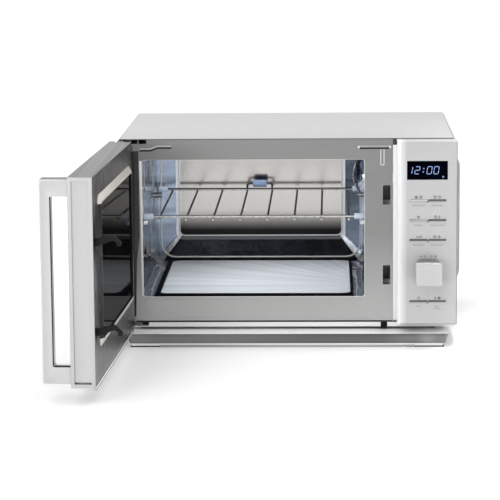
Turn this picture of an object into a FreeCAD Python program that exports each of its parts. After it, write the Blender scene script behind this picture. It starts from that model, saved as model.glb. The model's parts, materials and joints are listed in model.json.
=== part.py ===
import FreeCAD
import Part
import Sketcher
import math
import os
import re

# Grill microwave oven, flatbed type, door hung on the left and shown open.
# Working axes of the outlines: X to the right from the middle of the casing, Y to the back from the
# front plate, Z up from the surface it stands on. Millimetres and degrees.

SIZES = (
    ("case_width", 452.0, "outside width of the wrapped casing"),
    ("case_height", 276.5, "top of the casing above the table"),
    ("case_depth", 336.0, "casing from its front edge to its rear edge"),
    ("case_bend", 6.0, "outside radius of the casing's long bends"),
    ("skirt_level", 24.0, "lower edge of the casing sides"),
    ("sheet", 1.0, "sheet metal thickness"),
    ("fit", 0.3, "clearance between fitted pieces"),
    ("running", 0.05, "radial clearance of turning shafts and pins"),
    ("bulge_rise", 6.0, "height of the pressed bulge on the right side"),
    ("bulge_slope", 11.0, "run of the bulge's sloped edge"),
    ("bulge_low", 80.0, "lower edge of the bulge"),
    ("bulge_drop", 26.5, "upper edge of the bulge below the casing top"),
    ("bulge_front", 14.0, "front edge of the bulge"),
    ("bulge_rear", 100.0, "rear edge of the bulge before the casing rear edge"),
    ("vent_slot_long", 26.0, "length of a vent slot"),
    ("vent_slot_wide", 3.5, "width of a vent slot"),
    ("vent_pitch", 9.0, "spacing of vent slots"),
    ("side_vents", 7.0, "vent slots in a row of the casing side"),
    ("base_vents", 8.0, "vent slots in the base pan"),
    ("rear_vents", 9.0, "vent slots in a row of the rear panel"),
    ("vent_level", 150.0, "lower end of the side vents"),
    ("vent_rear", 74.0, "first side vent before the casing rear edge"),
    ("plate_foot", 28.5, "lower edge of the front plate"),
    ("flange_width", 5.0, "strip of the panel housing beside the front plate"),
    ("flange_notch", 8.0, "open notch above that strip"),
    ("side_gap", 30.0, "casing side to cavity wall on the left"),
    ("latch_bay", 40.0, "cavity wall to control panel on the right"),
    ("cavity_floor", 58.5, "steel floor of the cavity"),
    ("roof_gap", 25.5, "cavity roof to casing top"),
    ("cavity_bend", 16.0, "radius of the cavity's lower corners"),
    ("cavity_top_bend", 5.0, "radius of the cavity's upper corners"),
    ("rear_gap", 20.0, "cavity tube to casing rear edge"),
    ("back_draw", 9.0, "depth of the drawn back"),
    ("back_slope", 31.7, "width of the drawn back's sloped band at the sides and top"),
    ("back_rise", 37.5, "height of the drawn back's sloped band at the bottom"),
    ("back_corner", 8.0, "corner radius of the drawn back's flat middle"),
    ("weld_flange", 7.0, "flange where the cavity is welded"),
    ("opening_lip", 2.5, "front plate overhang inside the cavity walls"),
    ("opening_sill", 4.0, "front plate lower edge above the cavity floor"),
    ("opening_head", 2.5, "front plate upper edge below the cavity roof"),
    ("opening_corner", 4.0, "corner radius of the oven opening"),
    ("tile_margin", 21.0, "ceramic plate to cavity wall"),
    ("tile_front", 14.0, "ceramic plate behind the front plate"),
    ("tile_rear", 13.0, "ceramic plate to the end of the cavity tube"),
    ("tile_thick", 4.5, "ceramic plate thickness"),
    ("tile_corner", 9.0, "ceramic plate corner radius"),
    ("seal_width", 4.7, "width of the seal round the ceramic plate"),
    ("seal_rise", 0.4, "seal above the ceramic plate"),
    ("well_inset", 15.0, "stirrer well inside the ceramic plate's edge"),
    ("well_depth", 19.0, "depth of the stirrer well"),
    ("well_bend", 10.0, "corner radius of the stirrer well"),
    ("stirrer_motor_radius", 24.0, "stirrer motor"),
    ("stirrer_shaft_radius", 3.0, "stirrer shaft"),
    ("stirrer_span", 150.0, "length of the stirrer blade"),
    ("stirrer_width", 34.0, "width of the stirrer blade"),
    ("stirrer_lift", 8.0, "stirrer blade above the well floor"),
    ("guide_width", 80.0, "width of the waveguide"),
    ("guide_rear", 131.0, "middle of the waveguide before the casing rear edge"),
    ("guide_clear", 1.0, "waveguide below the cavity floor and above the well floor"),
    ("guide_reach", 112.0, "length of the waveguide"),
    ("antenna_radius", 9.0, "magnetron antenna"),
    ("antenna_offset", 75.0, "antenna from the inner end of the waveguide"),
    ("anode_radius", 20.0, "magnetron anode"),
    ("magnetron_long", 76.0, "magnetron yoke front to back"),
    ("magnetron_wide", 60.0, "magnetron yoke width"),
    ("magnetron_high", 62.0, "magnetron yoke height"),
    ("fin_count", 6.0, "cooling fins of the magnetron"),
    ("fin_thick", 1.2, "thickness of a cooling fin"),
    ("filter_box", 26.0, "height of the magnetron filter box"),
    ("core_wide", 82.0, "transformer core width"),
    ("core_deep", 48.0, "transformer core stack"),
    ("core_high", 68.0, "transformer core height"),
    ("coil_bulge", 14.0, "transformer windings beyond the core"),
    ("core_front", 60.0, "transformer behind the front plate"),
    ("works_right", 14.0, "electrical pieces to the casing on the right"),
    ("can_long", 88.0, "capacitor length"),
    ("can_wide", 48.0, "capacitor width"),
    ("can_high", 31.0, "capacitor height"),
    ("can_rear", 33.0, "capacitor before the rear panel"),
    ("fan_radius", 43.0, "cooling fan tip radius"),
    ("fan_hub", 14.0, "cooling fan hub radius"),
    ("fan_level", 150.0, "cooling fan axis above the table"),
    ("fan_blades", 7.0, "number of fan blades"),
    ("fan_deep", 16.0, "depth of the fan wheel"),
    ("fan_pitch_root", 48.0, "blade angle at the hub"),
    ("fan_pitch_tip", 26.0, "blade angle at the tip"),
    ("blade_chord", 20.0, "fan blade width"),
    ("blade_thick", 1.6, "fan blade thickness"),
    ("tip_gap", 3.0, "fan tip to shroud"),
    ("shroud_rear", 30.0, "fan shroud before the rear panel"),
    ("shroud_thick", 2.0, "fan shroud plate"),
    ("shroud_margin", 5.0, "fan shroud plate beyond the ring"),
    ("motor_radius", 23.0, "fan motor"),
    ("motor_long", 20.0, "fan motor length"),
    ("fan_shaft", 2.5, "fan shaft radius"),
    ("strut_wide", 12.0, "fan motor strut"),
    ("grill_long", 110.0, "grill reflector width"),
    ("grill_deep", 140.0, "grill reflector front to back"),
    ("grill_high", 17.0, "grill reflector height"),
    ("grill_front", 95.0, "grill reflector behind the front plate"),
    ("heater_radius", 5.0, "quartz heater tube"),
    ("heater_spread", 60.0, "distance between heater tubes"),
    ("grill_slot_pitch", 11.0, "spacing of the slots under the grill"),
    ("grill_slot_wide", 5.0, "width of a slot under the grill"),
    ("lamp_rear", 101.0, "oven lamp before the end of the cavity tube"),
    ("lamp_drop", 52.0, "oven lamp below the cavity roof"),
    ("lamp_hole", 17.0, "lamp hole radius in the wall"),
    ("dome_radius", 27.0, "lamp dome radius"),
    ("dome_rise", 16.5, "lamp dome height"),
    ("lamp_body", 13.0, "lamp holder radius"),
    ("lamp_long", 26.0, "lamp holder length"),
    ("rack_drop", 81.3, "rack bars below the cavity roof"),
    ("rack_front", 16.0, "front bar of the rack behind the front plate"),
    ("rack_rear", 26.0, "rear bar of the rack before the end of the cavity tube"),
    ("rack_side", 1.0, "rack end to the edge of the opening"),
    ("rack_bar", 2.0, "radius of the rack's two carrying bars"),
    ("rack_wire", 1.5, "radius of the rack's cross wires"),
    ("rack_wires", 8.0, "number of cross wires"),
    ("rack_inset", 20.5, "first cross wire from the end of the bar"),
    ("wire_overhang", 3.0, "cross wires beyond the carrying bars"),
    ("weld_sink", 0.6, "depth that welded wires sink into each other"),
    ("sleeve_radius", 4.0, "ceramic sleeve outside radius"),
    ("sleeve_long", 13.0, "ceramic sleeve length"),
    ("stud_radius", 4.0, "rack stud radius"),
    ("stud_long", 8.5, "rack stud length"),
    ("bail_wide", 33.0, "width of the rack's rear bail"),
    ("bail_rise", 8.0, "rear bail above the rear bar"),
    ("bail_back", 2.0, "rear bail behind the rear bar"),
    ("bail_grip", 5.2, "radius of the sleeve on the rear bail"),
    ("bail_grip_long", 20.0, "length of the sleeve on the rear bail"),
    ("base_level", 22.0, "underside of the base pan"),
    ("base_flange", 6.0, "height of the base pan's front flange"),
    ("base_wall", 10.0, "height of the base pan's side walls"),
    ("plinth_top", 18.0, "top ledge of the plinth"),
    ("plinth_foot", 5.0, "underside of the plinth"),
    ("plinth_side", 9.5, "plinth top inside the casing side"),
    ("plinth_batter", 5.5, "slant of the plinth ends"),
    ("plinth_rear", 30.0, "plinth before the casing rear edge"),
    ("plinth_wall", 4.0, "plinth wall thickness"),
    ("plinth_roof", 4.0, "plinth top thickness"),
    ("neck_front", 6.0, "plinth neck behind the front plate"),
    ("neck_side", 18.0, "plinth neck inside the plinth ends"),
    ("foot_long", 50.0, "foot length at its top"),
    ("foot_bevel", 3.0, "slant of the foot ends"),
    ("foot_deep", 22.0, "foot front to back"),
    ("foot_inset", 1.5, "foot from the plinth end and front"),
    ("rear_inset", 3.0, "rear panel inside the casing rear edge"),
    ("gland_radius", 8.0, "lead gland"),
    ("gland_bore", 3.6, "bore of the lead gland"),
    ("gland_side", 30.0, "lead gland from the casing side"),
    ("gland_level", 60.0, "lead gland above the table"),
    ("screw_head", 4.0, "screw head radius"),
    ("screw_rise", 2.0, "screw head height"),
    ("screw_shank", 1.9, "screw shank radius"),
    ("screw_inset", 12.0, "rear screws from the panel's edge"),
    ("door_thick", 30.0, "door from its outer face to its inner rim"),
    ("door_gap", 1.0, "shut door to front plate"),
    ("door_top_gap", 1.5, "door top below the casing top"),
    ("door_foot", 22.0, "lower edge of the door"),
    ("door_side_gap", 1.0, "door to control panel"),
    ("door_angle", 92.5, "door opening as shown"),
    ("door_wall", 3.0, "door frame wall"),
    ("door_sill", 8.0, "door frame lower wall"),
    ("door_face", 5.0, "door frame front wall"),
    ("lip_drop", 2.8, "lip along the lower inner edge of the door, below the frame"),
    ("lip_thick", 3.0, "thickness of that lip"),
    ("door_corner", 2.0, "door frame outer corner radius"),
    ("door_heel", 4.0, "door frame radius at the hinge edge"),
    ("edge_recess", 1.4, "recess in the free edge of the door"),
    ("edge_border", 4.8, "border round that recess"),
    ("pane_border", 34.0, "door frame width round the outer glass"),
    ("pane_thick", 3.0, "outer glass thickness"),
    ("pane_ledge", 6.0, "ledge that carries the outer glass"),
    ("panel_sheet", 1.2, "door inner panel thickness"),
    ("raise_inset", 0.8, "raised frame inside the oven opening"),
    ("raise_height", 9.0, "raised frame above the door panel"),
    ("raise_bevel", 6.5, "bevel of the raised frame"),
    ("raise_rim", 3.0, "flat rim of the raised frame"),
    ("raise_wall", 2.0, "raised frame wall"),
    ("glass_thick", 2.0, "inner glass thickness"),
    ("window_border", 12.0, "door panel round the screen"),
    ("choke_out", 9.0, "choke channel outside the oven opening"),
    ("choke_deep", 11.0, "choke channel depth"),
    ("hinge_inset", 5.5, "hinge pin from the door's hinge edge"),
    ("hinge_back", 16.0, "hinge pin from the door's inner rim"),
    ("pin_radius", 2.5, "hinge pin"),
    ("bush_radius", 3.6, "hinge bush outside radius"),
    ("boss_size", 13.0, "hinge boss in the door corner"),
    ("boss_long", 26.0, "length of the hinge bosses"),
    ("pin_long", 15.0, "hinge pin length in the door"),
    ("arm_thick", 3.5, "hinge arm"),
    ("arm_half", 5.0, "half width of the hinge arm"),
    ("arm_space", 1.0, "clearance above and below the hinge arm"),
    ("arm_top_drop", 0.5, "upper hinge arm below the door top"),
    ("bracket_long", 28.0, "hinge bracket along the front plate"),
    ("bracket_deep", 20.0, "hinge bracket behind the front plate"),
    ("handle_reach", 34.0, "handle in front of the door"),
    ("handle_bar", 12.5, "handle bar thickness"),
    ("handle_arm", 20.5, "handle arm height"),
    ("handle_width", 22.0, "handle width"),
    ("handle_top", 2.5, "handle below the door top"),
    ("handle_low", 4.5, "handle above the lower door edge"),
    ("handle_side", 2.0, "handle from the free edge of the door"),
    ("handle_round", 2.0, "handle corner radius"),
    ("hook_thick", 4.0, "latch hook thickness"),
    ("hook_side", 14.5, "latch hooks from the free edge of the door"),
    ("hook_reach", 31.0, "latch hooks beyond the front plate face"),
    ("hook_high", 191.5, "underside of the upper hook's nose"),
    ("hook_drop", 108.0, "upper hook to lower hook"),
    ("hook_rise", 13.5, "height of a hook above its nose"),
    ("nose_long", 6.0, "length of a hook's nose"),
    ("hook_root", 9.5, "height of a hook at its root"),
    ("latch_travel", 3.0, "drop of the latch bar when it catches"),
    ("latch_side", 0.5, "latch bar side clearance"),
    ("bar_depth", 12.0, "latch bar width"),
    ("bar_end", 4.0, "latch bar beyond its hooks"),
    ("nose_round", 1.0, "rounding of a hook's nose"),
    ("bar_back", 6.0, "latch bar behind the door panel"),
    ("slot_wide", 10.0, "latch slot in the front plate"),
    ("slot_over", 1.2, "latch slot above and below the hook"),
    ("slot_head", 7.0, "extra height of the latch slots"),
    ("latch_wall", 3.0, "latch board wall"),
    ("latch_deep", 40.0, "latch board depth"),
    ("latch_foot", 18.0, "latch board below the lower hook's nose"),
    ("latch_head", 30.0, "latch board above the upper hook's nose"),
    ("ledge_thick", 6.0, "latch ledge height"),
    ("ledge_gap", 0.6, "hook nose above the latch ledge"),
    ("switch_size", 12.0, "interlock switch"),
    ("panel_width", 79.0, "control panel width"),
    ("panel_foot", 30.5, "lower edge of the control panel"),
    ("panel_top_gap", 1.2, "control panel below the casing top"),
    ("panel_wall", 2.5, "control panel wall"),
    ("panel_bevel", 4.5, "bevel on the panel's left edge"),
    ("panel_round", 1.5, "panel corner radius"),
    ("display_wide", 53.7, "display width"),
    ("display_high", 25.1, "display height"),
    ("display_left", 12.6, "display from the panel's left edge"),
    ("display_drop", 25.8, "display below the panel top"),
    ("lens_thick", 2.2, "display window thickness"),
    ("lens_rim", 3.0, "flange behind the display window"),
    ("key_long", 23.0, "key length"),
    ("key_high", 2.2, "key height"),
    ("key_gap", 1.8, "between the two keys of a row"),
    ("key_proud", 0.9, "key in front of the panel"),
    ("key_travel", 1.0, "key press"),
    ("key_shift", 0.8, "key rows right of the panel's middle"),
    ("key_rim", 1.6, "flange that holds a key in"),
    ("row_share", 0.6802, "first key row, as a share of the panel height"),
    ("row_step", 0.1078, "between key rows, as a share of the panel height"),
    ("last_share", 0.1279, "last key row, as a share of the panel height"),
    ("knob_share", 0.2925, "knob middle, as a share of the panel height"),
    ("knob_wide", 34.9, "knob cap width"),
    ("knob_high", 31.0, "knob cap height"),
    ("knob_cap", 6.0, "thickness of the knob's square cap"),
    ("knob_body", 31.0, "width of the ribbed body behind the cap"),
    ("knob_rise", 17.2, "top of that body above the knob's axis"),
    ("knob_deep", 27.5, "knob length"),
    ("knob_corner", 6.0, "lower corners of the knob cap"),
    ("knob_lift", 0.5, "knob in front of the panel"),
    ("knob_shift", 1.3, "knob right of the panel's middle"),
    ("knob_edge", 1.4, "rounding of the knob's front edge"),
    ("knob_grip", 17.0, "shaft length inside the knob"),
    ("shaft_radius", 3.0, "encoder shaft"),
    ("collar_radius", 4.5, "encoder collar"),
    ("board_back", 17.0, "control board behind the panel front"),
    ("board_thick", 1.6, "control board"),
    ("board_side", 5.0, "control board from the panel sides"),
    ("post_radius", 3.0, "board post"),
    ("post_inset", 6.0, "board post from the board's corner"),
    ("encoder_size", 14.0, "encoder body"),
    ("encoder_deep", 7.0, "encoder body depth"),
    ("tact_size", 6.0, "key switch"),
    ("clip_long", 8.5, "bumper clip length"),
    ("clip_left", 17.0, "bumper clip from the panel's left edge"),
    ("clip_deep", 5.5, "bumper clip front to back"),
)

doc = FreeCAD.newDocument("grill_microwave_oven")
sheet = doc.addObject("Spreadsheet::Sheet", "Sizes")
for row, (alias, size, note) in enumerate(SIZES, start=1):
    sheet.set(f"A{row}", note)
    sheet.set(f"B{row}", str(size))
    sheet.setAlias(f"B{row}", alias)
doc.recompute()
NAMES = {alias for alias, size, note in SIZES}


def formula(text):
    """Point the size names in a formula at their cells of the sheet."""
    return re.sub(r"[a-z]\w*", lambda word: "Sizes." + word[0] if word[0] in NAMES else word[0], str(text))


def value(text):
    return float(sheet.evalExpression(formula(text)))


def bind(thing, prop, text):
    thing.setExpression(prop, formula(text))


# Places that several pieces share, as formulas of the sizes
CASE_RIGHT = "(case_width / 2)"
INNER_RIGHT = "(case_width / 2 - sheet - fit)"
INNER_TOP = "(case_height - sheet - fit)"
PANEL_LEFT = "(case_width / 2 - panel_width)"
PANEL_FRONT = "(-door_gap - door_thick)"
PANEL_TOP = "(case_height - panel_top_gap)"
PLATE_RIGHT = f"({PANEL_LEFT} - flange_width - fit)"
CAVITY_LEFT = "(side_gap - case_width / 2)"
CAVITY_RIGHT = f"({PANEL_LEFT} - latch_bay)"
CAVITY_ROOF = "(case_height - roof_gap)"
CAVITY_END = "(case_depth - rear_gap)"
OPEN_LEFT = f"({CAVITY_LEFT} + opening_lip)"
OPEN_RIGHT = f"({CAVITY_RIGHT} - opening_lip)"
OPEN_LOW = "(cavity_floor + opening_sill)"
OPEN_HIGH = f"({CAVITY_ROOF} - opening_head)"
TILE_LEFT = f"({CAVITY_LEFT} + tile_margin)"
TILE_RIGHT = f"({CAVITY_RIGHT} - tile_margin)"
TILE_BACK = f"({CAVITY_END} - tile_rear)"
WELL_LEFT = f"({TILE_LEFT} + well_inset)"
WELL_RIGHT = f"({TILE_RIGHT} - well_inset)"
WELL_FRONT = "(tile_front + well_inset)"
WELL_BACK = f"({TILE_BACK} - well_inset)"
WELL_FLOOR = "(cavity_floor - sheet - well_depth)"
WELL_X = f"(({WELL_LEFT} + {WELL_RIGHT}) / 2)"
WELL_Y = f"(({WELL_FRONT} + {WELL_BACK}) / 2)"
BASE_TOP = "(base_level + sheet)"
REAR_FACE = "(case_depth - rear_inset)"
WORKS_LEFT = f"({CAVITY_RIGHT} + sheet)"
WORKS_RIGHT = "(case_width / 2 - works_right)"
DOOR_LEFT = "(-case_width / 2)"
DOOR_RIGHT = f"({PANEL_LEFT} - door_side_gap)"
DOOR_TOP = "(case_height - door_top_gap)"
DOOR_FRONT = PANEL_FRONT
HINGE_X = f"({DOOR_LEFT} + hinge_inset)"
HINGE_Y = "(-door_gap - hinge_back)"
ARM_TOP = f"({DOOR_TOP} - arm_top_drop)"
ARM_LOW = BASE_TOP
HOOK_X = f"({DOOR_RIGHT} - hook_side)"
PANEL_HIGH = f"({PANEL_TOP} - panel_foot)"
ROWS = [f"(panel_foot + {PANEL_HIGH} * ({share}))"
        for share in ("row_share", "row_share - row_step", "row_share - 2 * row_step", "last_share")]
KEY_X = f"({PANEL_LEFT} + panel_width / 2 + key_shift)"
KNOB_X = f"({PANEL_LEFT} + panel_width / 2 + knob_shift)"
KNOB_Z = f"(panel_foot + {PANEL_HIGH} * knob_share)"
PANEL_SKIN = f"({PANEL_FRONT} + panel_wall)"
BOARD_FACE = f"({PANEL_FRONT} + board_back)"
RACK_LEFT = f"({OPEN_LEFT} + rack_side)"
RACK_RIGHT = f"({OPEN_RIGHT} - rack_side)"
RACK_REAR = f"({CAVITY_END} - rack_rear)"
RACK_Z = f"({CAVITY_ROOF} - rack_drop)"
LAMP = (f"({CAVITY_END} - lamp_rear)", f"({CAVITY_ROOF} - lamp_drop)")
GUIDE_Y = "(case_depth - guide_rear)"
FAN_X = f"(({WORKS_LEFT} + weld_flange + {INNER_RIGHT}) / 2)"
SHROUD_FACE = f"({REAR_FACE} - shroud_rear)"

# The origin stands on the table under the middle of the whole oven with its door open as shown
REACH = f"({DOOR_RIGHT} - {HINGE_X})"
SWING_X = f"({REACH} * cos(door_angle * 1 deg))"
SWING_Y = f"({REACH} * sin(door_angle * 1 deg))"
FACE_OUT = f"(({PANEL_FRONT} - handle_reach - {HINGE_Y}) * sin(door_angle * 1 deg))"
MIDDLE_X = f"(({HINGE_X} + {SWING_X} + {FACE_OUT} + {CASE_RIGHT} + bulge_rise) / 2)"
FREE_END = f"({HINGE_Y} - {SWING_Y} + hinge_back * cos(door_angle * 1 deg))"
MIDDLE_Y = f"(({FREE_END} + case_depth) / 2)"

OVEN = FreeCAD.Placement(FreeCAD.Vector(-value(MIDDLE_X), -value(MIDDLE_Y), 0), FreeCAD.Rotation())
SWING = FreeCAD.Placement(FreeCAD.Vector(), FreeCAD.Rotation(FreeCAD.Vector(0, 0, 1), -value("door_angle")),
                          FreeCAD.Vector(value(HINGE_X), value(HINGE_Y), 0))
DOOR = OVEN * SWING

PIECES = []
PLANES = {"XY": ("XY_Plane", 1), "XZ": ("XZ_Plane", -1), "YZ": ("YZ_Plane", 1)}


def rect(left, right, low, high, radius=None, top_radius=None):
    """Corners of a rectangle, rounded where a radius is given."""
    lower = (radius,) if radius else ()
    upper = (top_radius,) if top_radius else lower
    return [(left, low) + lower, (right, low) + lower, (right, high) + upper, (left, high) + upper]


def grow(corners, amount):
    """The same rectangle with every side moved out by an amount."""
    (left, low), (right, high) = corners[0][:2], corners[2][:2]
    rounds = [corner[2:] for corner in corners]
    sides = [(f"({left} - ({amount}))", f"({low} - ({amount}))"),
             (f"({right} + ({amount}))", f"({low} - ({amount}))"),
             (f"({right} + ({amount}))", f"({high} + ({amount}))"),
             (f"({left} - ({amount}))", f"({high} + ({amount}))")]
    return [side + curve for side, curve in zip(sides, rounds)]


def draw_circle(sketch, x, y, radius):
    centre = FreeCAD.Vector(value(x), value(y), 0)
    ring = sketch.addGeometry(Part.Circle(centre, FreeCAD.Vector(0, 0, 1), value(radius)), False)
    for kind, place, text in (("DistanceX", (ring, 3), x), ("DistanceY", (ring, 3), y),
                              ("Radius", (ring,), radius)):
        index = sketch.addConstraint(Sketcher.Constraint(kind, *place, value(text)))
        bind(sketch, f"Constraints[{index}]", text)


def draw_outline(sketch, corners):
    """Closed outline of straight sides; a corner with a third value is rounded by that radius."""
    points = [FreeCAD.Vector(value(corner[0]), value(corner[1]), 0) for corner in corners]
    first = sketch.GeometryCount
    starts, ends, rounds = [], [], {}
    for index, point in enumerate(points):
        before, after = points[index - 1], points[(index + 1) % len(points)]
        starts.append(point)
        ends.append(point)
        if len(corners[index]) == 3:
            radius = value(corners[index][2])
            back, ahead = (before - point).normalize(), (after - point).normalize()
            half = back.getAngle(ahead) / 2
            ends[index] = point + back * (radius / math.tan(half))
            starts[index] = point + ahead * (radius / math.tan(half))
            centre = point + (back + ahead).normalize() * (radius / math.sin(half))
            rounds[index] = (centre, radius, (point - before).cross(after - point).z > 0)
    sides = [Part.LineSegment(starts[i], ends[(i + 1) % len(points)]) for i in range(len(points))]
    sketch.addGeometry(sides, False)
    for index, corner in enumerate(corners):
        before, after = first + (index - 1) % len(points), first + index
        place = (after, 1)
        if index in rounds:
            centre, radius, left_turn = rounds[index]
            near, far = (ends[index], starts[index]) if left_turn else (starts[index], ends[index])
            angles = [math.atan2(point.y - centre.y, point.x - centre.x) for point in (near, far)]
            circle = Part.Circle(centre, FreeCAD.Vector(0, 0, 1), radius)
            arc = sketch.addGeometry(Part.ArcOfCircle(circle, *angles), False)
            mark = sketch.addGeometry(Part.Point(points[index]), True)
            enter, leave = (1, 2) if left_turn else (2, 1)
            sketch.addConstraint([Sketcher.Constraint("Tangent", before, 2, arc, enter),
                                  Sketcher.Constraint("Tangent", arc, leave, after, 1),
                                  Sketcher.Constraint("PointOnObject", mark, 1, before),
                                  Sketcher.Constraint("PointOnObject", mark, 1, after)])
            number = sketch.addConstraint(Sketcher.Constraint("Radius", arc, radius))
            bind(sketch, f"Constraints[{number}]", corner[2])
            place = (mark, 1)
        else:
            sketch.addConstraint(Sketcher.Constraint("Coincident", before, 2, after, 1))
        for kind, text in (("DistanceX", corner[0]), ("DistanceY", corner[1])):
            number = sketch.addConstraint(Sketcher.Constraint(kind, *place, value(text)))
            bind(sketch, f"Constraints[{number}]", text)


class Piece:
    """One sub-part: a body whose features take their sizes from the sheet."""

    def __init__(self, label, placement=OVEN):
        self.body = doc.addObject("PartDesign::Body", label)
        self.body.Label = label
        self.body.Placement = placement
        self.steps = []
        PIECES.append(self)

    def origin(self, role):
        return next(item for item in self.body.Origin.OriginFeatures if item.Role == role)

    def sketch(self, plane, level, loops, at=("0", "0")):
        """Sketch of outlines (lists) and circles (tuples) on a plane at a level along its axis."""
        role, sign = PLANES[plane]
        sketch = self.body.newObject("Sketcher::SketchObject", self.body.Label + "_sketch")
        sketch.AttachmentSupport = [(self.origin(role), "")]
        sketch.MapMode = "FlatFace"
        for axis, text in zip("xyz", (at[0], at[1], f"{sign} * ({level})")):
            bind(sketch, f"AttachmentOffset.Base.{axis}", text)
        for loop in loops:
            if isinstance(loop, tuple):
                draw_circle(sketch, *loop)
            else:
                draw_outline(sketch, loop)
        return sketch

    def feature(self, kind, grows):
        item = self.body.newObject("PartDesign::" + kind, f"{self.body.Label}_{kind.lower()}")
        self.steps.append((item, grows))
        return item

    def pad(self, plane, level, length, *loops):
        """Add material from a level of the plane's axis towards its positive end."""
        sketch = self.sketch(plane, level, loops)
        item = self.feature("Pad", True)
        item.Profile = sketch
        item.Reversed = plane == "XZ"
        bind(item, "Length", length)
        return item

    def pocket(self, plane, level, length, *loops):
        """Take material away from a level of the plane's axis towards its positive end."""
        sketch = self.sketch(plane, level, loops)
        item = self.feature("Pocket", False)
        item.Profile = sketch
        item.Reversed = plane != "XZ"
        bind(item, "Length", length)
        return item

    def loft(self, plane, start, start_loop, end, end_loop, grows=True):
        """Add or take away a straight-sided loft between two levels."""
        sketches = [self.sketch(plane, start, [start_loop]), self.sketch(plane, end, [end_loop])]
        item = self.feature("AdditiveLoft" if grows else "SubtractiveLoft", grows)
        item.Profile = sketches[0]
        item.Sections = sketches[1:]
        item.Ruled = True
        return item

    def revolve(self, plane, level, at, axis, outline):
        """Turn an outline about an axis of its own sketch, whose origin lies at a place of the plane."""
        sketch = self.sketch(plane, level, [outline], at)
        item = self.feature("Revolution", True)
        item.Profile = sketch
        item.ReferenceAxis = (sketch, [axis])
        item.Angle = 360
        return item

    def row(self, items, axis, length, count, grows):
        """Repeat features along an axis over a length."""
        pattern = self.feature("LinearPattern", grows)
        pattern.Originals = items
        pattern.Direction = (self.origin(axis + "_Axis"), [""])
        bind(pattern, "Length", length)
        pattern.Occurrences = int(value(count))
        self.body.Tip = pattern
        return pattern

    def ring(self, items, axis, count):
        """Repeat features all round an axis of the body."""
        pattern = self.feature("PolarPattern", True)
        pattern.Originals = items
        pattern.Axis = (self.origin(axis + "_Axis"), [""])
        pattern.Angle = 360
        pattern.Occurrences = int(value(count))
        self.body.Tip = pattern
        return pattern

    def round_edges(self, radius, chosen):
        """Round the edges of the last feature that a test on the edge's box picks out."""
        doc.recompute()
        base = self.steps[-1][0]
        names = [f"Edge{i}" for i, edge in enumerate(base.Shape.Edges, start=1) if chosen(edge.BoundBox)]
        item = self.feature("Fillet", None)
        item.Base = (base, names)
        bind(item, "Radius", radius)
        return item


def near(one, other):
    return abs(one - other) < 1e-4


def outer_casing():
    piece = Piece("outer_casing")
    right, left = CASE_RIGHT, f"(-{CASE_RIGHT})"
    inside, under = f"({CASE_RIGHT} - sheet)", "(case_height - sheet)"
    inner_bend = "(case_bend - sheet)"
    piece.pad("XZ", "0", "case_depth",
              [(left, "skirt_level"), (f"(-{inside})", "skirt_level"), (f"(-{inside})", under, inner_bend),
               (inside, under, inner_bend), (inside, "skirt_level"), (right, "skirt_level"),
               (right, "case_height", "case_bend"), (left, "case_height", "case_bend")])
    foot = rect("bulge_front", "(case_depth - bulge_rear)", "bulge_low", "(case_height - bulge_drop)",
                "case_bend")
    piece.loft("YZ", right, foot, f"{right} + bulge_rise", grow(foot, "-bulge_slope"))
    piece.loft("YZ", inside, grow(foot, "-sheet"), f"{inside} + bulge_rise",
               grow(foot, "-bulge_slope - sheet"),
               grows=False)
    slot_end = "(vent_slot_wide / 2 - 0.1)"
    rows = ("vent_level", "(vent_level + vent_slot_long + vent_pitch)")
    start = "(case_depth - vent_rear)"
    slots = [rect(start, f"{start} + vent_slot_wide", low, f"{low} + vent_slot_long", slot_end)
             for low in rows]
    vents = piece.pocket("YZ", f"{left} - sheet", "case_width + 2 * sheet", *slots)
    piece.row([vents], "Y", "(side_vents - 1) * vent_pitch", "side_vents", grows=False)


def front_plate():
    piece = Piece("front_plate")
    left = f"(-{INNER_RIGHT})"
    notch_side, notch_low = f"({left} + bracket_long + side_gap / 3)", f"({ARM_TOP} - arm_thick - arm_space)"
    slot_left = f"({HOOK_X} - hook_thick / 2 - latch_side * 2)"
    slots = []
    for nose in ("hook_high", "(hook_high - hook_drop)"):
        slots.append(rect(slot_left, f"{slot_left} + slot_wide", f"{nose} - latch_travel - slot_over",
                          f"{nose} + hook_rise + slot_over + slot_head", "panel_round"))
    piece.pad("XZ", "0", "sheet",
              [(left, "plate_foot"), (PLATE_RIGHT, "plate_foot"), (PLATE_RIGHT, INNER_TOP),
               (notch_side, INNER_TOP), (notch_side, notch_low), (left, notch_low)],
              rect(OPEN_LEFT, OPEN_RIGHT, OPEN_LOW, OPEN_HIGH, "opening_corner"), *slots)


def cavity_outline(amount="0"):
    """Cross-section of the cavity, grown by an amount, with wide lower corners."""
    tube = rect(CAVITY_LEFT, CAVITY_RIGHT, "cavity_floor", CAVITY_ROOF,
                f"(cavity_bend + ({amount}))", f"(cavity_top_bend + ({amount}))")
    return grow(tube, amount)


def cavity_shell():
    piece = Piece("cavity_shell")
    piece.pad("XZ", "sheet", "sheet", cavity_outline("sheet + weld_flange"), cavity_outline())
    piece.pad("XZ", "2 * sheet", f"{CAVITY_END} - 2 * sheet", cavity_outline("sheet"), cavity_outline())
    piece.pocket("XY", "cavity_floor - 2 * sheet", "3 * sheet",
                 rect(WELL_LEFT, WELL_RIGHT, WELL_FRONT, WELL_BACK, "well_bend"))
    grill = grill_outline()
    piece.pocket("XY", f"{CAVITY_ROOF} - sheet", "3 * sheet", grow(grill, "-weld_flange"))
    piece.pocket("YZ", f"{CAVITY_RIGHT} - sheet", "3 * sheet", (*LAMP, "lamp_hole"))


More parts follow.
